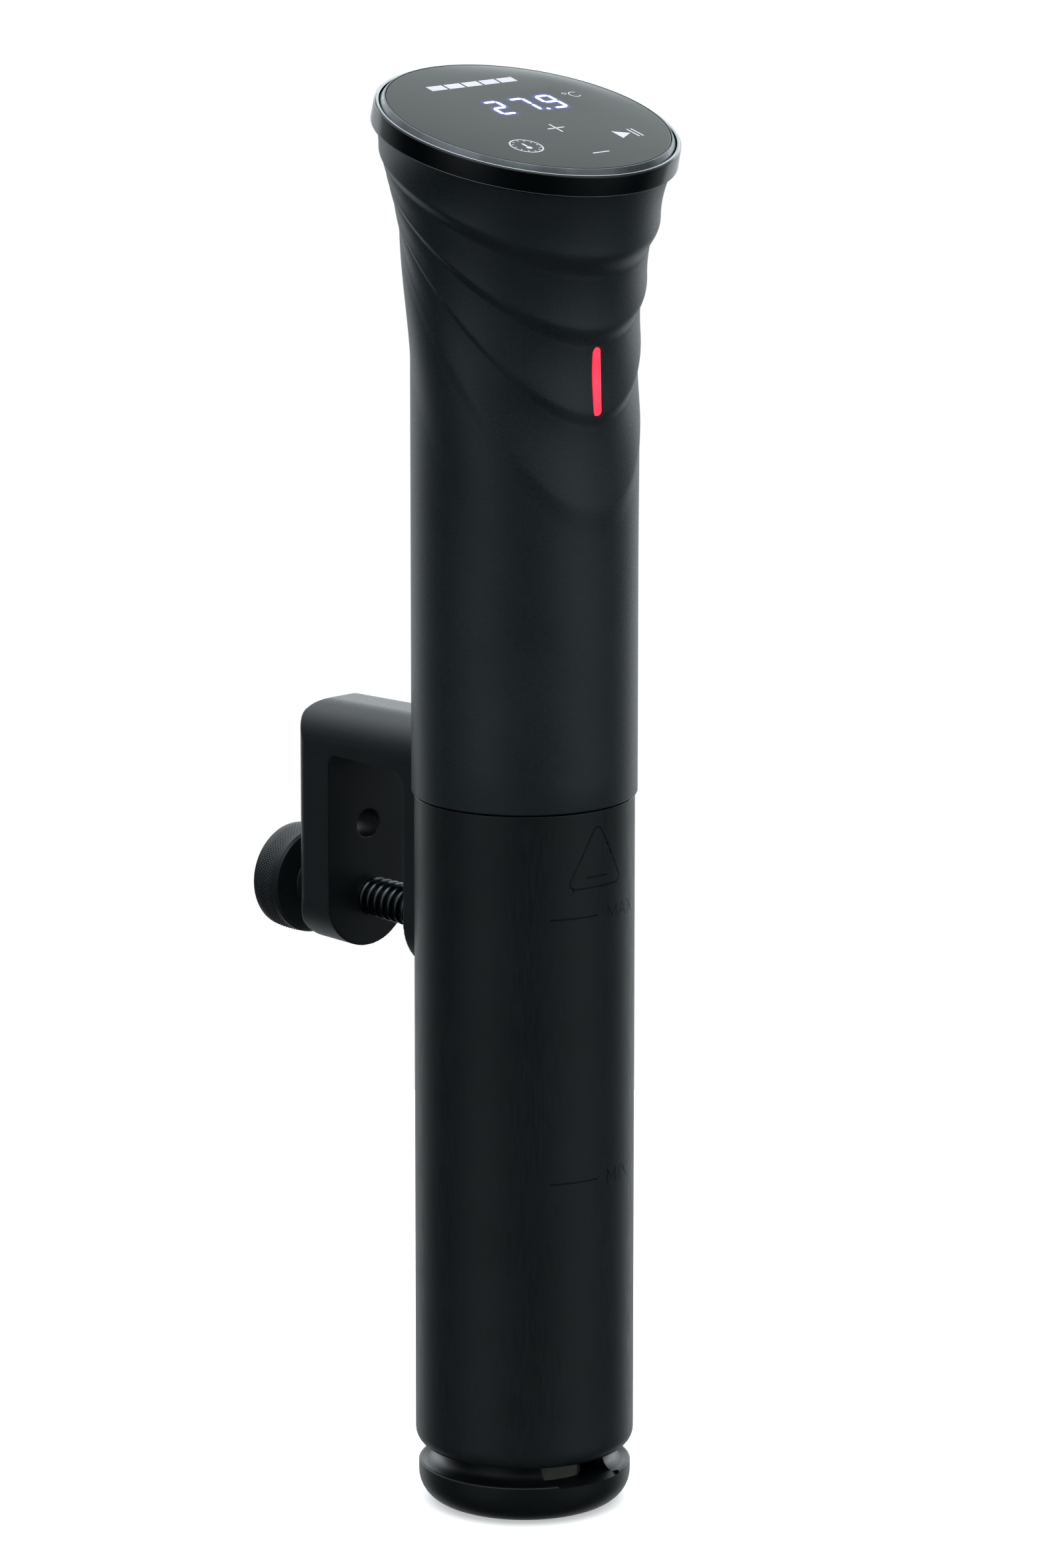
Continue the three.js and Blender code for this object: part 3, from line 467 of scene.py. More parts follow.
def skin(rows, loop=False, caps=False):
    """Vertices and faces of rows of points joined by quads. Each row closes on itself, and a row of
    one point is a pole. loop joins the last row to the first, and caps fills both ends."""
    verts, numbers = [], []
    width = max(len(row) for row in rows)
    for row in rows:
        first = len(verts)
        verts.extend(row)
        numbers.append([first] * width if len(row) == 1 else list(range(first, first + width)))
    faces = []
    for low, high in zip(numbers, numbers[1:] + (numbers[:1] if loop else [])):
        for i in range(width):
            j = (i + 1) % width
            faces.append(tuple(dict.fromkeys((low[i], low[j], high[j], high[i]))))
    if caps:
        faces += [tuple(reversed(numbers[0])), tuple(numbers[-1])]
    return verts, faces


def uneven_ring(radius_at, z, segments):
    """A row of points round Z from the +X axis, with the radius at each share of the turn."""
    row = []
    for i in range(segments):
        angle = 2 * math.pi * i / segments
        radius = radius_at(i / segments)
        row.append((radius * math.cos(angle), radius * math.sin(angle), z))
    return row


def ring(radius, z, segments):
    return uneven_ring(lambda share: radius, z, segments)


def circle(radius, z, segments):
    """A row of points round Z from the front."""
    return [(y, -x, z) for x, y, z in ring(radius, z, segments)]


def turned(profile, segments=192):
    """A solid of revolution about Z, from (radius, height) points given outer side up. A profile that
    starts and ends on the axis makes a plug, and any other closes on itself."""
    rows = [ring(r, z, segments) if r > 0 else [(0, 0, z)] for r, z in profile]
    return skin(rows, loop=profile[0][0] > 0)


def rod(radius, low, high, segments=64):
    """A plain cylinder about Z, as a cutting tool."""
    return turned([(0, low), (radius, low), (radius, high), (0, high)], segments)


def rod_along_y(radius, y0, y1, z, segments=64):
    return moved(rod(radius, y0, y1, segments), along_y(z))


def rounded(corners, closed=True, steps=5):
    """An outline through (a, b) and (a, b, radius) corners, with an arc wherever there is a radius."""
    outline = []
    for i, (a, b, *radius) in enumerate(corners):
        here = Vector((a, b))
        if not radius or (not closed and i in (0, len(corners) - 1)):
            outline.append((a, b))
            continue
        before = (Vector(corners[i - 1][:2]) - here).normalized()
        after = (Vector(corners[(i + 1) % len(corners)][:2]) - here).normalized()
        half = before.angle(after) / 2
        centre = here + (before + after).normalized() * radius[0] / math.sin(half)
        start = here + before * radius[0] / math.tan(half) - centre
        end = here + after * radius[0] / math.tan(half) - centre
        turn = math.remainder(math.atan2(end.y, end.x) - math.atan2(start.y, start.x), 2 * math.pi)
        for k in range(steps + 1):
            c, s = math.cos(turn * k / steps), math.sin(turn * k / steps)
            outline.append((centre.x + c * start.x - s * start.y, centre.y + s * start.x + c * start.y))
    return outline


def prism(outline, low, high, place):
    """An outline of (a, b) points, anticlockwise, raised from low to high and put in place."""
    rows = [[place @ Vector((a, b, h)) for a, b in outline] for h in (low, high)]
    return skin(rows, caps=True)


def block(low, high):
    """A box between two corners, as a cutting tool or a bar."""
    outline = [(low[0], low[1]), (high[0], low[1]), (high[0], high[1]), (low[0], high[1])]
    return prism(outline, low[2], high[2], Matrix.Identity(4))


def moved(shape, place):
    verts, faces = shape
    return [place @ Vector(v) for v in verts], faces


def new_object(name, shape):
    verts, faces = shape
    mesh = bpy.data.meshes.new(name)
    mesh.from_pydata([Vector(v) * MM for v in verts], [], faces)
    made = bpy.data.objects.new(name, mesh)
    scene.collection.objects.link(made)
    return made


def bake_modifiers(thing):
    """Replaces the object's mesh by the one that its modifiers make."""
    graph = bpy.context.evaluated_depsgraph_get()
    before = thing.data
    thing.data = bpy.data.meshes.new_from_object(thing.evaluated_get(graph))
    thing.data.name = thing.name
    thing.modifiers.clear()
    bpy.data.meshes.remove(before)


def combined(thing, shapes, operation="DIFFERENCE"):
    """Cuts the shapes from a thing, or joins or intersects it with them."""
    tools = [new_object("tool", shape) for shape in shapes]
    for tool in tools:
        step = thing.modifiers.new("shape", "BOOLEAN")
        step.operation = operation
        step.solver = "MANIFOLD"
        step.object = tool
    bake_modifiers(thing)
    for tool in tools:
        bpy.data.objects.remove(tool)


def finish_piece(thing, finish, body, replaces=(), crease=35):
    """Shades a thing, gives it its finish, and puts it on its body."""
    thing.data.materials.clear()
    thing.data.materials.append(FINISHES[finish])
    thing.data.shade_smooth()
    thing.data.set_sharp_from_angle(angle=math.radians(crease))
    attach(thing, body)
    if replaces:
        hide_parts(*replaces)
    return thing


def piece(name, shape, finish, body="root", replaces=(), crease=35):
    return finish_piece(new_object(name, shape), finish, body, replaces, crease)


# ---------------- upper housing

def smoothstep(t):
    return t * t * (3 - 2 * t)


def housing_controls(azimuth):
    """Control points of the outer surface at one azimuth from the front, top to bottom."""
    c = math.cos(azimuth)
    rim_radius = HEAD_RIM_RADIUS / math.hypot(math.sin(azimuth), c / math.cos(HEAD_TILT))
    rim_z = HEAD_PIVOT_Z - GAP - rim_radius * c * math.tan(HEAD_TILT)
    twice = math.cos(2 * azimuth)
    levels = [rim_z] + [r["height"] - r["drop"] * c - r["fold"] * twice for r in RIPPLES]
    levels.append(levels[-1] - LAST_RIPPLE_FADE)
    controls = [(rim_radius, rim_z)]
    for above, z, below, ripple in zip(levels, levels[1:], levels[2:], RIPPLES):
        crest, crest_swing = ripple["crest"]
        valley, valley_swing = ripple["valley"]
        controls.append((crest - crest_swing * c, z + CREST_ABOVE_STEP * (above - z)))
        controls.append((valley - valley_swing * c, z - ripple["reach"] * (z - below)))
    controls.append((HOUSING_RADIUS, levels[-1]))
    return controls


def ease(index, t):
    if index == 0:
        return 1 - (1 - t) ** 2
    return smoothstep(t) if index % 2 else (t + smoothstep(t)) / 2


def housing_point(azimuth, level, inset):
    controls = housing_controls(azimuth)
    index = min(int(level), len(controls) - 2)
    t = level - index
    (radius_a, z_a), (radius_b, z_b) = controls[index], controls[index + 1]
    radius = radius_a + (radius_b - radius_a) * ease(index, t) - inset
    if index and index % 2 == 0 and index < LAST_LEVEL - 1:
        radius -= SCOOP * max(0, math.cos(azimuth)) * math.sin(math.pi * t ** 0.8)
    z = z_a + (z_b - z_a) * t + inset * math.cos(azimuth) * math.tan(HEAD_TILT)
    return radius * math.sin(azimuth), -radius * math.cos(azimuth), z


def housing_row(level, inset, segments):
    return [housing_point(2 * math.pi * i / segments, level, inset) for i in range(segments)]


def upright_slot(half_width, z0, z1, steps=16):
    """Outline in the X-Z plane of a slot with round ends, anticlockwise seen from the front."""
    outline = []
    for z, start in ((z1 - half_width, 0), (z0 + half_width, math.pi)):
        for k in range(steps + 1):
            angle = start + math.pi * k / steps
            outline.append((half_width * math.cos(angle), z + half_width * math.sin(angle)))
    return outline


THROUGH_Y = Matrix(((1, 0, 0, 0), (0, 0, -1, 0), (0, 1, 0, 0), (0, 0, 0, 1)))


def make_housing():
    segments = 360
    fine = 14
    bottom = SEAM_Z[1]
    wall_foot = housing_row(LAST_LEVEL, 0, segments)
    straight = [
        [(x, y, bottom + 0.5 + (z - bottom - 0.5) * k / 6) for x, y, z in wall_foot] for k in range(1, 6)
    ]
    outer = [housing_row(LAST_LEVEL - k / fine, 0, segments) for k in range(LAST_LEVEL * fine + 1)]
    inner = [housing_row(k, HOUSING_WALL, segments) for k in range(LAST_LEVEL + 1)]
    edge = ((HOUSING_WALL, 0), (0.45, 0), (0.13, 0.13), (0, 0.45))  # inset and height
    lip = [circle(HOUSING_RADIUS - inset, bottom + rise, segments) for inset, rise in edge]
    housing = new_object("upper_housing_shell", skin(lip + straight + outer + inner, loop=True))
    slot = upright_slot(LIGHT_HALF_WIDTH + GAP, LIGHT_Z[0] - GAP, LIGHT_Z[1] + GAP)
    tools = [
        prism(slot, *THROUGH_WALL, THROUGH_Y),
        rod_along_y(GLAND_HOLE_RADIUS, *THROUGH_WALL, GLAND_Z),
        rod_along_y(FIXING_HOLE_RADIUS, *THROUGH_WALL, UPPER_FIXING_Z, 48),
    ]
    combined(housing, tools)
    finish_piece(housing, "housing", "root", ("upper_housing",))


def front_radius(z):
    """Radius of the housing at the front, at that height."""
    low, high = 0.0, float(LAST_LEVEL)
    for _ in range(40):
        middle = (low + high) / 2
        if housing_point(0, middle, 0)[2] > z:
            low = middle
        else:
            high = middle
    return -housing_point(0, low, 0)[1]


def make_light_bar():
    """The diffuser follows the housing's surface and has a soft edge."""
    edge = ((0, LIGHT_BACK_Y), (0, 0.6), (0.05, 0.45), (0.15, 0.3), (0.35, 0.2), (0.7, 0.14), (1.1, 0.12))
    rows = []
    for inset, depth in edge:
        row = []
        for x, z in upright_slot(LIGHT_HALF_WIDTH - inset, LIGHT_Z[0] + inset, LIGHT_Z[1] - inset):
            face = -math.sqrt(front_radius(z) ** 2 - x * x)
            row.append((x, depth if depth < 0 else face + depth, z))
        rows.append(row)
    piece("light_bar_diffuser", skin(rows, caps=True), "light", replaces=("led_light_bar",))


# ---------------- tilted head

def make_bezel():
    wall = TRIM_OUTER_RADIUS + GAP
    foot = 37.2
    profile = rounded([
        (foot, 0, 0.2), (BEZEL_RADIUS - 0.3, 0, 0.15), (BEZEL_RADIUS + 0.08, 0.42, 0.3),
        (BEZEL_RADIUS, BEZEL_HEIGHT - 0.5, 0.5), (BEZEL_RADIUS - 0.5, BEZEL_HEIGHT, 0.35),
        (wall, BEZEL_HEIGHT - 0.12, 0.12), (wall, BEZEL_SHELF), (foot, BEZEL_SHELF, 0.2),
    ])
    piece("bezel", moved(turned(profile, 256), HEAD), "bezel", replaces=("bezel_ring",))
    # Painted highlight: a bright metal land on the bezel's top edge, where the gloss black rim reflects
    # the bright studio above.
    land = rounded([
        (wall, BEZEL_HEIGHT - 0.4), (BEZEL_RADIUS - 0.45, BEZEL_HEIGHT - 0.4),
        (BEZEL_RADIUS - 0.45, BEZEL_HEIGHT + 0.02, 0.15), (wall, BEZEL_HEIGHT - 0.08, 0.08),
    ])
    piece("bezel_painted_highlight_land", moved(turned(land, 256), HEAD), "painted_highlight")
    # Painted highlight: a bead of satin trim metal at the bezel's lower edge, standing in for the thin
    # line of reflected light there.
    bead = [(BEZEL_RADIUS - 0.12 + 0.22 * c, 0.24 + 0.22 * d) for c, d, _ in circle(1, 0, 12)]
    piece("bezel_painted_highlight_bead", moved(turned(bead, 256), HEAD), "trim")


def make_trim():
    inner = GLASS_RADIUS + GAP * 0.5
    bottom = BEZEL_SHELF + GAP
    profile = rounded([
        (inner, bottom), (TRIM_OUTER_RADIUS, bottom), (TRIM_OUTER_RADIUS, TRIM_EDGE_HEIGHT, 0.3),
        (inner + 0.3, GLASS_TOP, 0.25), (inner, GLASS_TOP - 0.05, 0.04),
    ])
    piece("trim", moved(turned(profile, 256), HEAD), "trim", replaces=("trim_ring",))


NUMBER_SHOWN = "279"  # with a point before its last digit
DIGIT_WIDTH = 4.2
DIGIT_HEIGHT = 8.3
DIGIT_PITCH = 8.9
STROKE = 1.0
SEGMENTS_OF = {"2": "abged", "7": "abc", "9": "abcdfg"}
DIGITS_AT = (4.9, -7.1)  # centre of the number, right and towards the front


def digit_strokes():
    """Centre lines of the number's lit segments, as pairs of (right, forward) points."""
    w, h = DIGIT_WIDTH / 2, DIGIT_HEIGHT / 2
    corners = {
        "a": ((-w, -h), (w, -h)), "b": ((w, -h), (w, 0)), "c": ((w, 0), (w, h)), "d": ((-w, h), (w, h)),
        "e": ((-w, 0), (-w, h)), "f": ((-w, -h), (-w, 0)), "g": ((-w, 0), (w, 0)),
    }
    strokes = []
    for place, digit in enumerate(NUMBER_SHOWN):
        right = DIGITS_AT[0] + (place - (len(NUMBER_SHOWN) - 1) / 2) * DIGIT_PITCH
        for segment in SEGMENTS_OF[digit]:
            a, b = (Vector((right + u, DIGITS_AT[1] + v)) for u, v in corners[segment])
            trim = (b - a).normalized() * STROKE * 0.62
            strokes.append((a + trim, b - trim))
    return strokes


def point_place():
    """Centre of the decimal point, between the last two digits."""
    return Vector((DIGITS_AT[0] + DIGIT_PITCH / 2, DIGITS_AT[1] + DIGIT_HEIGHT / 2))


def on_glass(outline, lift=PRINT_HEIGHT):
    """A thin solid on the glass from an outline of (right, forward) points."""
    flipped = [(u, -v) for u, v in outline]
    area = sum(a[0] * b[1] - b[0] * a[1] for a, b in zip(flipped, flipped[1:] + flipped[:1]))
    if area < 0:
        flipped.reverse()
    return prism(flipped, GLASS_TOP, GLASS_TOP + lift, HEAD)


def lozenge(a, b, half):
    """A six-sided lit segment from a to b."""
    a, b = Vector(a), Vector(b)
    along = (b - a).normalized()
    side = Vector((-along.y, along.x)) * half
    tip = along * half
    return [a - tip, a + side, b + side, b + tip, b - side, a - side]


def bar(a, b, half):
    """A plain stroke from a to b with square ends."""
    a, b = Vector(a), Vector(b)
    side = Vector((-(b - a).y, (b - a).x)).normalized() * half
    return [a + side, b + side, b - side, a - side]


def disc(centre, radius, steps=24):
    angles = [2 * math.pi * k / steps for k in range(steps)]
    return [(centre[0] + radius * math.cos(a), centre[1] + radius * math.sin(a)) for a in angles]


def band(centre, radius, half, start=0.0, sweep=2 * math.pi, steps=48):
    """A thin arc or ring on the glass, from start through sweep radians."""
    closed = abs(sweep - 2 * math.pi) < 1e-6
    top = GLASS_TOP + PRINT_HEIGHT
    rows = []
    for k in range(steps if closed else steps + 1):
        angle = start + sweep * k / steps
        direction = Vector((math.cos(angle), math.sin(angle)))
        near, far = (Vector(centre) + direction * (radius + s * half) for s in (-1, 1))
        corners = ((near, GLASS_TOP), (near, top), (far, top), (far, GLASS_TOP))
        rows.append([HEAD @ Vector((p.x, -p.y, h)) for p, h in corners])
    return skin(rows, loop=closed, caps=not closed)


def joined(shapes):
    verts, faces = [], []
    for more_verts, more_faces in shapes:
        first = len(verts)
        verts.extend(more_verts)
        faces.extend(tuple(first + i for i in face) for face in more_faces)
    return verts, faces


def distance_to_stroke(p, a, b):
    along = b - a
    share = max(0.0, min(1.0, (p - a).dot(along) / along.length_squared))
    return (p - a - along * share).length


HALO_REACH = 0.5  # over which the halo falls to about a third
HALO_STRENGTH = 0.75
HALO_END = 2.2  # where it is gone


def make_glass():
    """The panel's top is one flat mesh, finer round the digits, where it carries their halo."""
    segments = 192
    edge = 0.35
    rim = [Vector(p[:2]) for p in circle(GLASS_RADIUS - edge, 0, segments)]
    step = 0.3
    reach = 2.4
    half_width = DIGIT_PITCH * 1.5 + reach
    half_height = DIGIT_HEIGHT / 2 + reach
    columns, rows = round(2 * half_width / step), round(2 * half_height / step)
    field = [
        Vector((DIGITS_AT[0] - half_width + step * i, -DIGITS_AT[1] - half_height + step * j))
        for i in range(columns + 1)
        for j in range(rows + 1)
    ]
    border = [(i, (i + 1) % segments) for i in range(segments)]
    points, _, faces, *_ = geometry.delaunay_2d_cdt(rim + field, border, [], 1, 1e-5)
    verts = [(p.x, p.y, GLASS_TOP) for p in points]
    top = {(round(p.x, 3), round(p.y, 3)): i for i, p in enumerate(points)}
    above = [top[(round(p.x, 3), round(p.y, 3))] for p in rim]
    faces = [tuple(f) for f in faces]
    profile = [
        (GLASS_RADIUS - edge + edge * math.sin(a), GLASS_TOP - edge + edge * math.cos(a))
        for a in (math.pi / 8, math.pi / 4, 3 * math.pi / 8, math.pi / 2)
    ]
    profile.append((GLASS_RADIUS, GLASS_TOP - GLASS_THICKNESS))
    for radius, z in profile:
        below = list(range(len(verts), len(verts) + segments))
        verts.extend(circle(radius, z, segments))
        for i in range(segments):
            j = (i + 1) % segments
            faces.append((below[i], below[j], above[j], above[i]))
        above = below
    faces.append(tuple(reversed(above)))
    glass = new_object("glass_plate", moved((verts, faces), HEAD))

    strokes = digit_strokes()
    strokes.append((point_place(), point_place() + Vector((0.01, 0))))  # the point, as a tiny stroke
    flat = HEAD.inverted()
    glow = []
    for vertex in glass.data.vertices:
        p = flat @ (vertex.co / MM)
        nearest = min(distance_to_stroke(Vector((p.x, -p.y)), a, b) for a, b in strokes)
        away = max(0.0, nearest - STROKE / 2)
        fade = max(0.0, 1 - away / HALO_END)
        glow.append(HALO_STRENGTH * fade * math.exp(-away / HALO_REACH) if p.z > GLASS_TOP - 0.1 else 0.0)
    halo = glass.data.attributes.new("glow", "FLOAT", "POINT")
    halo.data.foreach_set("value", glow)
    finish_piece(glass, "glass", "root", ("glass_panel",))


def printed(name, outlines):
    piece(name, joined([on_glass(outline) for outline in outlines]), "print_and_painted_glow")


def make_display():
    """The lit number, and the printed signs on the glass, which carry a painted glow."""
    lit_parts = [on_glass(lozenge(a, b, STROKE / 2)) for a, b in digit_strokes()]
    lit_parts.append(on_glass(disc(point_place(), STROKE * 0.55)))
    piece("lit_number", joined(lit_parts), "digits")

    line = 0.26
    degree, unit = (21.5, -11.0), (24.2, -9.8)
    signs = [band(degree, 0.55, 0.12)]
    signs.append(band(unit, 1.6, 0.15, math.radians(45), math.radians(270)))
    piece("sign_degrees", joined(signs), "print_and_painted_glow")

    plus, minus = Vector((1.3, 9.5)), Vector((1.5, 27.5))
    right, forward = Vector((2.8, 0)), Vector((0, 2.8))
    core = Vector((line, 0))
    cross = [
        bar(plus - right, plus - core, line), bar(plus + core, plus + right, line),
        bar(plus - forward, plus + forward, line),
    ]
    printed("sign_plus", cross)
    printed("sign_minus", [bar(minus - right, minus + right, line)])

    play = Vector((18.6, 18.3))
    arrow = [play + Vector(corner) for corner in ((-3.6, -2.5), (0.9, 0), (-3.6, 2.5))]
    bars = [bar(play + Vector((x, -2.6)), play + Vector((x, 2.6)), line) for x in (1.9, 3.3)]
    printed("sign_play_pause", [arrow, *bars])

    dial = Vector((-16.1, 18.1))
    marks = [band(dial, 4.4, 0.2)]
    for k in range(12):
        direction = Vector((math.cos(math.pi * k / 6), math.sin(math.pi * k / 6)))
        marks.append(on_glass(bar(dial + direction * 3.3, dial + direction * 3.95, 0.16)))
    bulb = dial + Vector((0, 1.2))
    marks.append(on_glass(disc(bulb, 0.85)))
    marks.append(on_glass(bar(bulb + Vector((0, -1.0)), bulb + Vector((0, -3.0)), 0.36)))
    piece("sign_dial", joined(marks), "print_and_painted_glow")

    plate = (0.5, -24.0)
    count, width, height, gap = 5, 30, 3.0, 0.7
    pitch = width / count
    blocks = []
    for k in range(count):
        left = plate[0] - width / 2 + pitch * k + gap / 2
        blocks.append(bar((left, plate[1]), (left + pitch - gap, plate[1]), height / 2))
    printed("blank_name_bars", blocks)


# ---------------- sleeve with its debossed marks

MARK_DEPTH = 0.14
MAX_Z, MIN_Z = 167, 95
BAYONET_LUGS = 3
RELEASE_TURN = math.radians(25)  # the base's lugs pass the sleeve's notches after this turn


def on_sleeve(place, radius):
    angle = place.x / SLEEVE_RADIUS
    return radius * math.sin(angle), -radius * math.cos(angle), place.y


def groove(path, half, closed=False):
    """A tool that cuts a flat groove along a path of (arc length, height) points on the sleeve."""
    bottom, outside = SLEEVE_RADIUS - MARK_DEPTH, SLEEVE_RADIUS + 1
    points = [Vector(p) for p in path]
    if not closed:  # round ends
        first, last = (points[1] - points[0]).normalized(), (points[-1] - points[-2]).normalized()
        ends = [math.sin(math.pi / 2 * k / 4) for k in range(5)]
        points = (
            [points[0] - first * half * e for e in reversed(ends[1:])] + points
            + [points[-1] + last * half * e for e in ends[1:]]
        )
    count = len(points)
    rows = []
    for i, p in enumerate(points):
        before = points[(i - 1) % count] if closed or i else p
        after = points[(i + 1) % count] if closed or i < count - 1 else p
        tangents = [t.normalized() for t in (p - before, after - p) if t.length > 1e-9]
        along = sum(tangents, Vector((0, 0))).normalized()
        mitre = 1 / max(0.5, along.dot(tangents[0]))
        reach = half * mitre
        if not closed:
            beyond = max((points[4] - p).dot(tangents[0]), (p - points[-5]).dot(tangents[-1]), 0)
            reach *= math.sqrt(max(0.02, 1 - (beyond / half) ** 2))
        side = Vector((-along.y, along.x)) * reach
        corners = ((p + side, bottom), (p - side, bottom), (p - side, outside), (p + side, outside))
        rows.append([on_sleeve(*corner) for corner in corners])
    return skin(rows, loop=closed, caps=not closed)


def dense(path, step=0.8, closed=False):
    """The path with extra points, so that it bends with the sleeve."""
    points = [Vector(p) for p in path]
    if closed:
        points.append(points[0])
    out = []
    for a, b in zip(points, points[1:]):
        count = max(1, round((b - a).length / step))
        out.extend(a + (b - a) * k / count for k in range(count))
    return out if closed else out + [points[-1]]


LETTERS = {  # strokes in a box 1 wide and 1 high
    "M": (((0, 0), (0, 1)), ((0, 1), (0.5, 0.25)), ((0.5, 0.25), (1, 1)), ((1, 1), (1, 0))),
    "A": (((0, 0), (0.5, 1)), ((0.5, 1), (1, 0)), ((0.2, 0.35), (0.8, 0.35))),
    "X": (((0, 0), (1, 1)), ((0, 1), (1, 0))),
    "I": (((0.5, 0), (0.5, 1)),),
    "N": (((0, 0), (0, 1)), ((0, 1), (1, 0)), ((1, 0), (1, 1))),
}


def word_strokes(word, centre, height, widths, gap):
    total = sum(widths) + gap * (len(word) - 1)
    left = centre[0] - total / 2
    strokes = []
    for letter, width in zip(word, widths):
        for stroke in LETTERS[letter]:
            strokes.append([(left + u * width, centre[1] + (v - 0.5) * height) for u, v in stroke])
        left += width + gap
    return strokes


def make_sleeve():
    edge_radius = 4.5
    lip = 2
    wall = 1.8
    neck_hole = 22.6
    lip_top = SLEEVE_BOTTOM_Z + lip
    inner = SLEEVE_RADIUS - wall
    wall_low, wall_high, wall_rows = SLEEVE_BOTTOM_Z + edge_radius + 1, SEAM_Z[0] - 1, 110
    wall_steps = [wall_low + (wall_high - wall_low) * k / wall_rows for k in range(wall_rows + 1)]
    profile = rounded([
        (neck_hole, SLEEVE_BOTTOM_Z, 0.3), (SLEEVE_RADIUS, SLEEVE_BOTTOM_Z, edge_radius),
        *((SLEEVE_RADIUS, z) for z in wall_steps),
        (SLEEVE_RADIUS, SEAM_Z[0], 0.35), (inner, SEAM_Z[0], 0.2), (inner, lip_top + 3),
        (inner - 2, lip_top), (neck_hole, lip_top, 0.3),
    ], steps=8)
    sleeve = new_object("heater_sleeve", turned(profile, 320))
    tools = []
    for k in range(BAYONET_LUGS):
        turn = math.pi / 2 + 2 * math.pi * k / BAYONET_LUGS + RELEASE_TURN
        notch = block((20, -4.8, 10), (24.8, 4.8, lip_top + 0.5))
        tools.append(moved(notch, Matrix.Rotation(turn, 4, "Z")))
    tools.append(rod_along_y(FIXING_HOLE_RADIUS, *THROUGH_WALL, ACCESS_HOLE_Z, 48))
    around = SLEEVE_RADIUS * math.radians(1)
    for z in (MAX_Z, MIN_Z):
        tools.append(groove(dense([(-27 * around, z), (0, z)]), 0.26))
    words = (("MAX", 20, MAX_Z, (3.6, 3.6, 3.2)), ("MIN", 17, MIN_Z, (3.6, 0.6, 3.2)))
    for word, middle, z, widths in words:
        for stroke in word_strokes(word, (middle * around, z), 3.7, widths, 1.1):
            tools.append(groove(dense(stroke), 0.17))
    half, low, high = 19 * around, 174.8, 192.6
    triangle = rounded([(-half, low, 1.6), (half, low, 1.6), (0, high, 1.6)])
    tools.append(groove(dense(triangle, closed=True), 0.24, closed=True))
    tools.append(groove(dense([(-3.4, low + 2.8), (3.4, low + 2.8)]), 0.24))
    combined(sleeve, tools)
    finish_piece(sleeve, "sleeve", "root", ("lower_sleeve",))


# ---------------- base cap

def make_base():
    radius, edge = 28.5, 8
    crest, cove_floor, cove = 11.1, 10.3, 4
    neck, neck_top = 22.2, 22
    chamber, floor = 20, 2.5
    puck = rounded([
        (0, 0), (radius, 0, edge), (radius, crest - 0.2, 0.5), (radius - 0.7, crest, 0.3),
        (neck + cove, cove_floor, 0.5), (neck, cove_floor, cove - 0.2), (neck, neck_top, 0.4),
        (chamber, neck_top, 0.3), (chamber, floor, 0.8), (0, floor),
    ], closed=False, steps=10)
    cap = new_object("twist_base", turned(puck, 320))
    lugs = []
    for k in range(BAYONET_LUGS):
        place = Matrix.Rotation(math.pi / 2 + 2 * math.pi * k / BAYONET_LUGS, 4, "Z")
        lugs.append(moved(block((21, -4, 18.2), (24.5, 4, 20.8)), place))
    combined(cap, lugs, "UNION")
    window_half = 10.8
    window = rounded([
        (-window_half, cove_floor, 0.8), (window_half, cove_floor, 0.8), (window_half, 19, 0.8),
        (-window_half, 19, 0.8),
    ])
    tools = [prism(window, 10, radius + 5, THROUGH_Y)]
    for k in range(8):
        slot = rounded([(7.5, -1.5, 1.4), (17.5, -1.5, 1.4), (17.5, 1.5, 1.4), (7.5, 1.5, 1.4)])
        tools.append(prism(slot, -1, floor + 1, Matrix.Rotation(math.pi / 4 * k, 4, "Z")))
    combined(cap, tools)
    # The base takes the darker copy of the sleeve's satin black, as painted shade.
    finish_piece(cap, "base", "base_cap_body", ("base_cap",))


# ---------------- clamp

ACROSS_X = Matrix(((0, 0, 1, 0), (1, 0, 0, 0), (0, 1, 0, 0), (0, 0, 0, 1)))


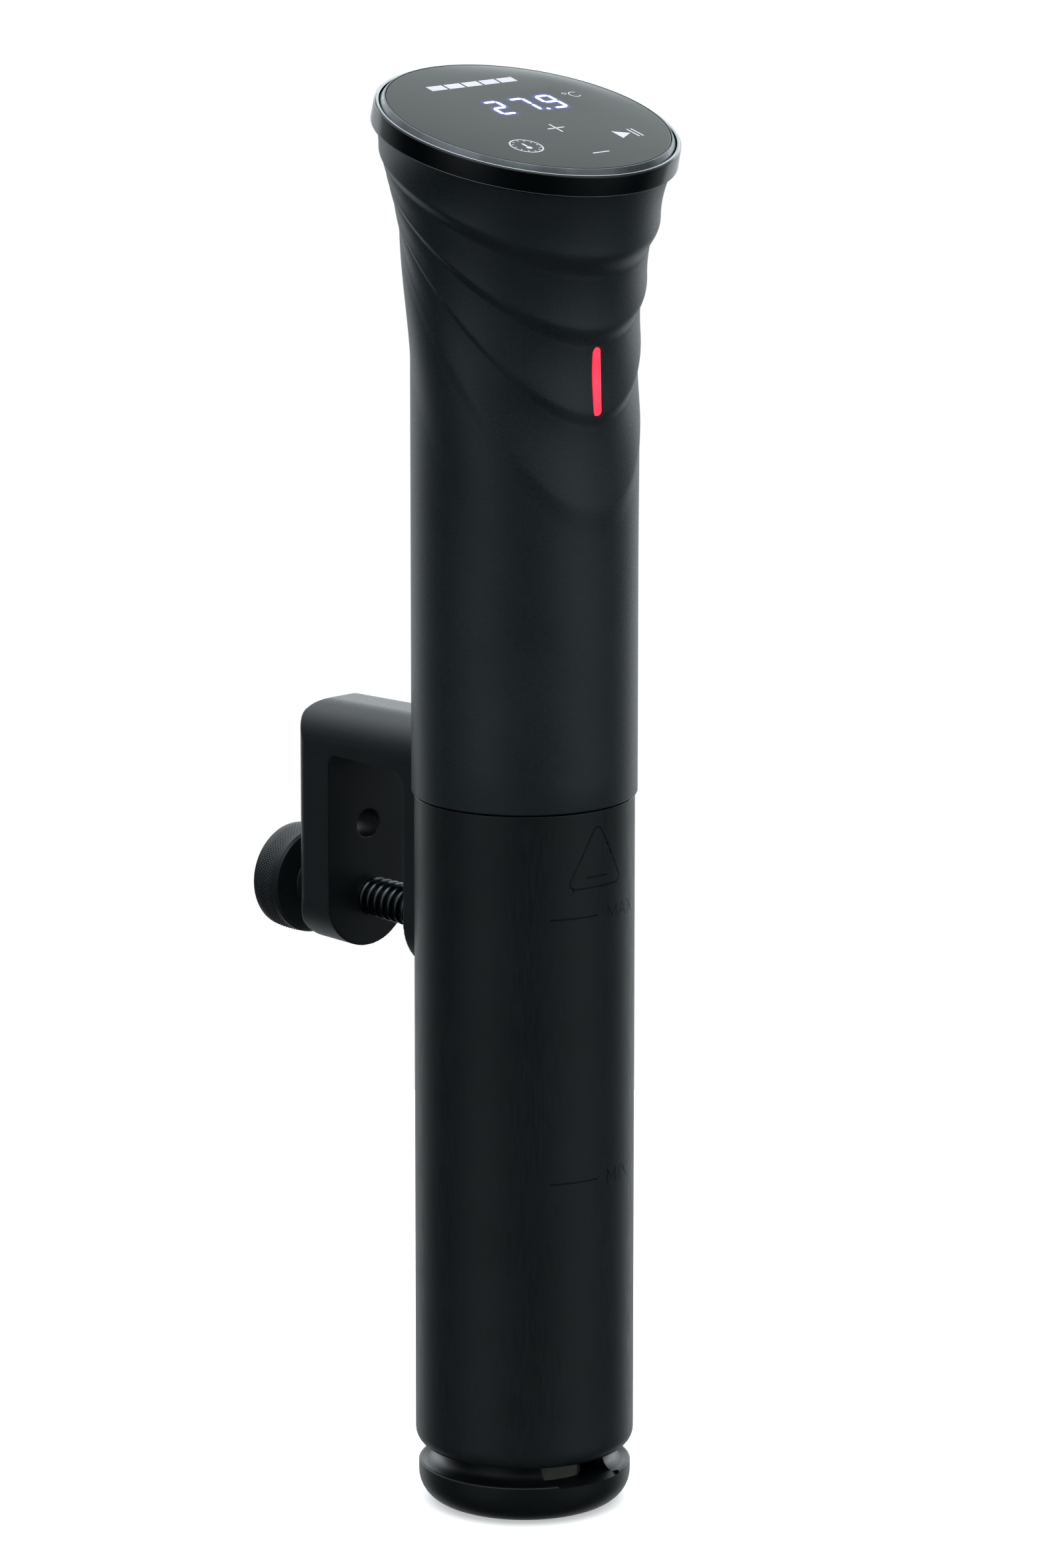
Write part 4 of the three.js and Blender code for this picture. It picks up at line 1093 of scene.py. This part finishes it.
def make_bracket():
    """The same outlines as the CAD model's bracket, with more points: a side, a front, a sloping
    roof with round shoulders and a plan."""
    inner_y, outer_y = OUTER_LEG_Y
    half = CLAMP_HALF_WIDTH
    leg_bottom = SCREW_Z - half
    behind, edge, spare = 24, 4.3, 1
    slope = ARM_RISE / (outer_y - behind)
    roof_top = ARM_TOP_Z + slope * outer_y
    side = rounded([
        (behind, leg_bottom - spare), (JAW_Y, leg_bottom - spare), (JAW_Y, ARM_UNDERSIDE_Z, 5),
        (inner_y, ARM_UNDERSIDE_Z, 4), (inner_y, leg_bottom - spare), (outer_y, leg_bottom - spare),
        (outer_y, ARM_TOP_Z, edge), (behind, ARM_TOP_Z + ARM_RISE + spare),
    ], steps=24)
    round_end = half - 0.01
    front = rounded([
        (-half, leg_bottom, round_end), (half, leg_bottom, round_end), (half, roof_top + spare),
        (-half, roof_top + spare),
    ], steps=40)
    roof = rounded([
        (-half, leg_bottom - 2 * spare), (half, leg_bottom - 2 * spare),
        (half, roof_top, ARM_SHOULDER_RADIUS), (-half, roof_top, ARM_SHOULDER_RADIUS),
    ], steps=32)
    plan = rounded(
        [(-half, behind), (half, behind), (half, outer_y, edge), (-half, outer_y, edge)],
        steps=24,
    )
    lean = Matrix.Identity(4)
    lean[2][1] = -slope
    bracket = new_object("clamp_frame", prism(side, -half - spare, half + spare, ACROSS_X))
    outlines = [
        prism(front, -outer_y - spare, spare - behind, THROUGH_Y),
        prism(roof, -outer_y - spare, spare - behind, lean @ THROUGH_Y),
        prism(plan, leg_bottom - 5, roof_top + 5, Matrix.Identity(4)),
    ]
    combined(bracket, outlines, "INTERSECT")
    screw_hole, insert_hole, head_recess = 3.3, 5.2, 3.9
    tools = [
        rod(HOUSING_RADIUS + GAP, leg_bottom - 5, roof_top + 5, 256),
        rod_along_y(ACCESS_HOLE_RADIUS, inner_y - 5, outer_y + 5, ACCESS_HOLE_Z),
        rod_along_y(screw_hole, inner_y - 5, outer_y + 5, SCREW_Z),
        rod_along_y(insert_hole, inner_y + 3, outer_y + 5, SCREW_Z),
        rod_along_y(FIXING_HOLE_RADIUS, 20, JAW_Y + 5, ACCESS_HOLE_Z),
        rod_along_y(head_recess, JAW_Y - 1.6, JAW_Y + 5, ACCESS_HOLE_Z),
        rod_along_y(FIXING_HOLE_RADIUS, 20, 38.5, UPPER_FIXING_Z),
    ]
    combined(bracket, tools)
    soften(bracket)
    finish_piece(bracket, "clamp", "root", ("clamp_bracket",), crease=60)


def soften(thing):
    """Remeshes a moulded piece evenly and relaxes it, so that its edges are slightly round."""
    remesh = thing.modifiers.new("even", "REMESH")
    remesh.mode = "VOXEL"
    remesh.voxel_size = 0.3 * MM
    relax = thing.modifiers.new("relax", "SMOOTH")
    relax.factor = 0.5
    relax.iterations = 2
    bake_modifiers(thing)


def helix(radius, wire, y0, y1, turns, steps=56, sides=14):
    """A round wire wound evenly about Y, with flat ends."""
    rows = []
    count = round(turns * steps)
    pitch = (y1 - y0) / count
    for k in range(count + 1):
        angle = 2 * math.pi * k / steps
        out = Vector((math.cos(angle), 0, math.sin(angle)))
        rise = pitch * steps / (2 * math.pi)
        tangent = Vector((-radius * math.sin(angle), rise, radius * math.cos(angle)))
        up = tangent.normalized().cross(out)
        centre = out * radius + Vector((0, y0 + pitch * k, 0))
        rows.append([
            centre + wire * (math.cos(t) * out + math.sin(t) * up)
            for t in (2 * math.pi * i / sides for i in range(sides))
        ])
    return skin(rows, caps=True)


def make_spring():
    low, high = span("clamp_spring")
    wire = 0.95
    coil = helix((high.x - low.x) / 2 - wire, wire, low.y + wire, high.y - wire, 7)
    spring = piece(
        "clamp_coil_spring", moved(coil, Matrix.Translation((0, 0, SCREW_Z))), "spring_steel",
        replaces=("clamp_spring",),
    )
    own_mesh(spring)


def make_screw():
    """The clamp screw with its thread."""
    low, high = span("clamp_screw")
    major, pitch, depth = high.x, 1.0, 0.55
    segments, fine = 48, 8
    rows = [[(0, 0, low.y)]]
    count = round((high.y - low.y) / pitch * fine)
    for k in range(count + 1):
        y = low.y + (high.y - low.y) * k / count
        fade = min(1.0, (y - low.y) / pitch, (high.y - y) / pitch)

        def radius_at(turn):
            share = (y / pitch - turn) % 1
            tooth = min(1.0, 2.6 * min(share, 1 - share))
            return major - depth * (1 - tooth) - 0.4 * (1 - fade)

        rows.append(uneven_ring(radius_at, y, segments))
    rows.append([(0, 0, high.y)])
    thread = moved(skin(rows), SCREW_AXIS)
    piece("clamp_thread", thread, "steel", "clamp_screw_body", ("clamp_screw",), crease=50)


KNURLS = 84
KNURL_DEPTH = 0.24


def make_knob():
    """A round knob with a diamond knurl between two plain edges."""
    low, high = span("clamp_knob")
    radius, outer = high.x, high.y
    inner, hub, hub_start = 86.7, 7, low.y
    bore, bore_end = 3.2, 92.5
    segments, bands = KNURLS * 8, 40
    edge = 0.9
    pitch = 2 * math.pi * radius / KNURLS

    def wave(t):
        return abs((t % 1) * 2 - 1)

    back = rounded(
        [(bore, hub_start), (hub, hub_start, 0.4), (hub, inner, 0.6), (radius - 0.9, inner)],
        closed=False,
    )
    back = [(bore, bore_end), *back, (radius - KNURL_DEPTH, inner + edge * 0.8)]
    rows = [[(0, 0, bore_end)]]
    rows += [ring(r, y, segments) for r, y in back]
    for k in range(bands + 1):
        y = inner + edge + (outer - inner - 2 * edge) * k / bands
        fade = min(1.0, 4 * k / bands, 4 * (bands - k) / bands)
        shift = (y - inner) / pitch

        def radius_at(turn):
            height = min(wave(turn * KNURLS + shift), wave(turn * KNURLS - shift))
            return radius - KNURL_DEPTH * (1 - fade * min(1.0, 1.5 * height))

        rows.append(uneven_ring(radius_at, y, segments))
    face = outer - 0.5
    front = [
        (radius - KNURL_DEPTH, outer - edge * 0.8), (radius - 0.9, outer), (radius - 2.4, outer),
        (radius - 2.8, face), (4, face),
    ]
    rows += [ring(r, y, segments) for r, y in front]
    rows.append([(0, 0, face)])
    knob = moved(skin(rows), SCREW_AXIS)
    piece("knurled_knob", knob, "clamp", "clamp_screw_body", ("clamp_knob",), crease=40)


def make_foot():
    low, high = span("clamp_foot")
    radius = high.x
    socket, socket_end = 3.3, high.y - 3.7
    profile = rounded([
        (0, low.y), (radius, low.y, 0.5), (radius, high.y, 0.6), (socket, high.y, 0.3),
        (socket, socket_end), (0, socket_end),
    ], closed=False)
    foot = moved(turned(profile, 96), SCREW_AXIS)
    piece("pressure_foot", foot, "clamp", "clamp_foot_body", ("clamp_foot",))
    low, high = span("foot_pad")
    profile = rounded(
        [(0, low.y), (high.x, low.y, 0.5), (high.x, high.y, 0.2), (0, high.y)],
        closed=False,
    )
    pad = moved(turned(profile, 96), SCREW_AXIS)
    piece("rubber_pad", pad, "rubber", "clamp_foot_body", ("foot_pad",))


def make_gland():
    """Cord gland: a flange and a ribbed nose round the bore."""
    low, high = span("cord_gland")
    bore = 3.5
    corners = [
        (bore, low.y, 0.3), (6, low.y, 0.3), (6, 30.8), (8.5, 30.8, 0.2), (8.5, 33, 0.6), (7, 33.3, 0.4),
    ]
    for k in range(3):
        y = 34.1 + 1.6 * k
        taper = 0.15 * k
        corners += [
            (6.75 - taper, y, 0.2), (6.2 - taper, y + 0.3, 0.2),
            (6.2 - taper, y + 1.0, 0.2), (6.65 - taper, y + 1.3, 0.2),
        ]
    corners += [(5.9, high.y, 0.6), (bore, high.y, 0.5)]
    nose = moved(turned(rounded(corners), 128), GLAND_AXIS)
    piece("cord_gland_nose", nose, "clamp", "root", ("cord_gland",))


# ---------------- the rest of the CAD nodes

def finish_cad_nodes():
    """Gives every CAD node that still shows the finish that its record names."""
    for part in frame["record"]["subparts"]:
        node = frame["nodes"][part["node"]]
        if node.hide_render:
            continue
        node.data.materials.clear()
        node.data.materials.append(FINISHES[part["material_slot"]])


make_camera()
make_world()
make_lights()
make_floor()
scene.view_settings.view_transform = "Standard"

FINISHES = make_finishes()

make_housing()
make_light_bar()
make_bezel()
make_trim()
make_glass()
make_display()
make_sleeve()
make_base()
make_bracket()
make_spring()
make_screw()
make_knob()
make_foot()
make_gland()
finish_cad_nodes()
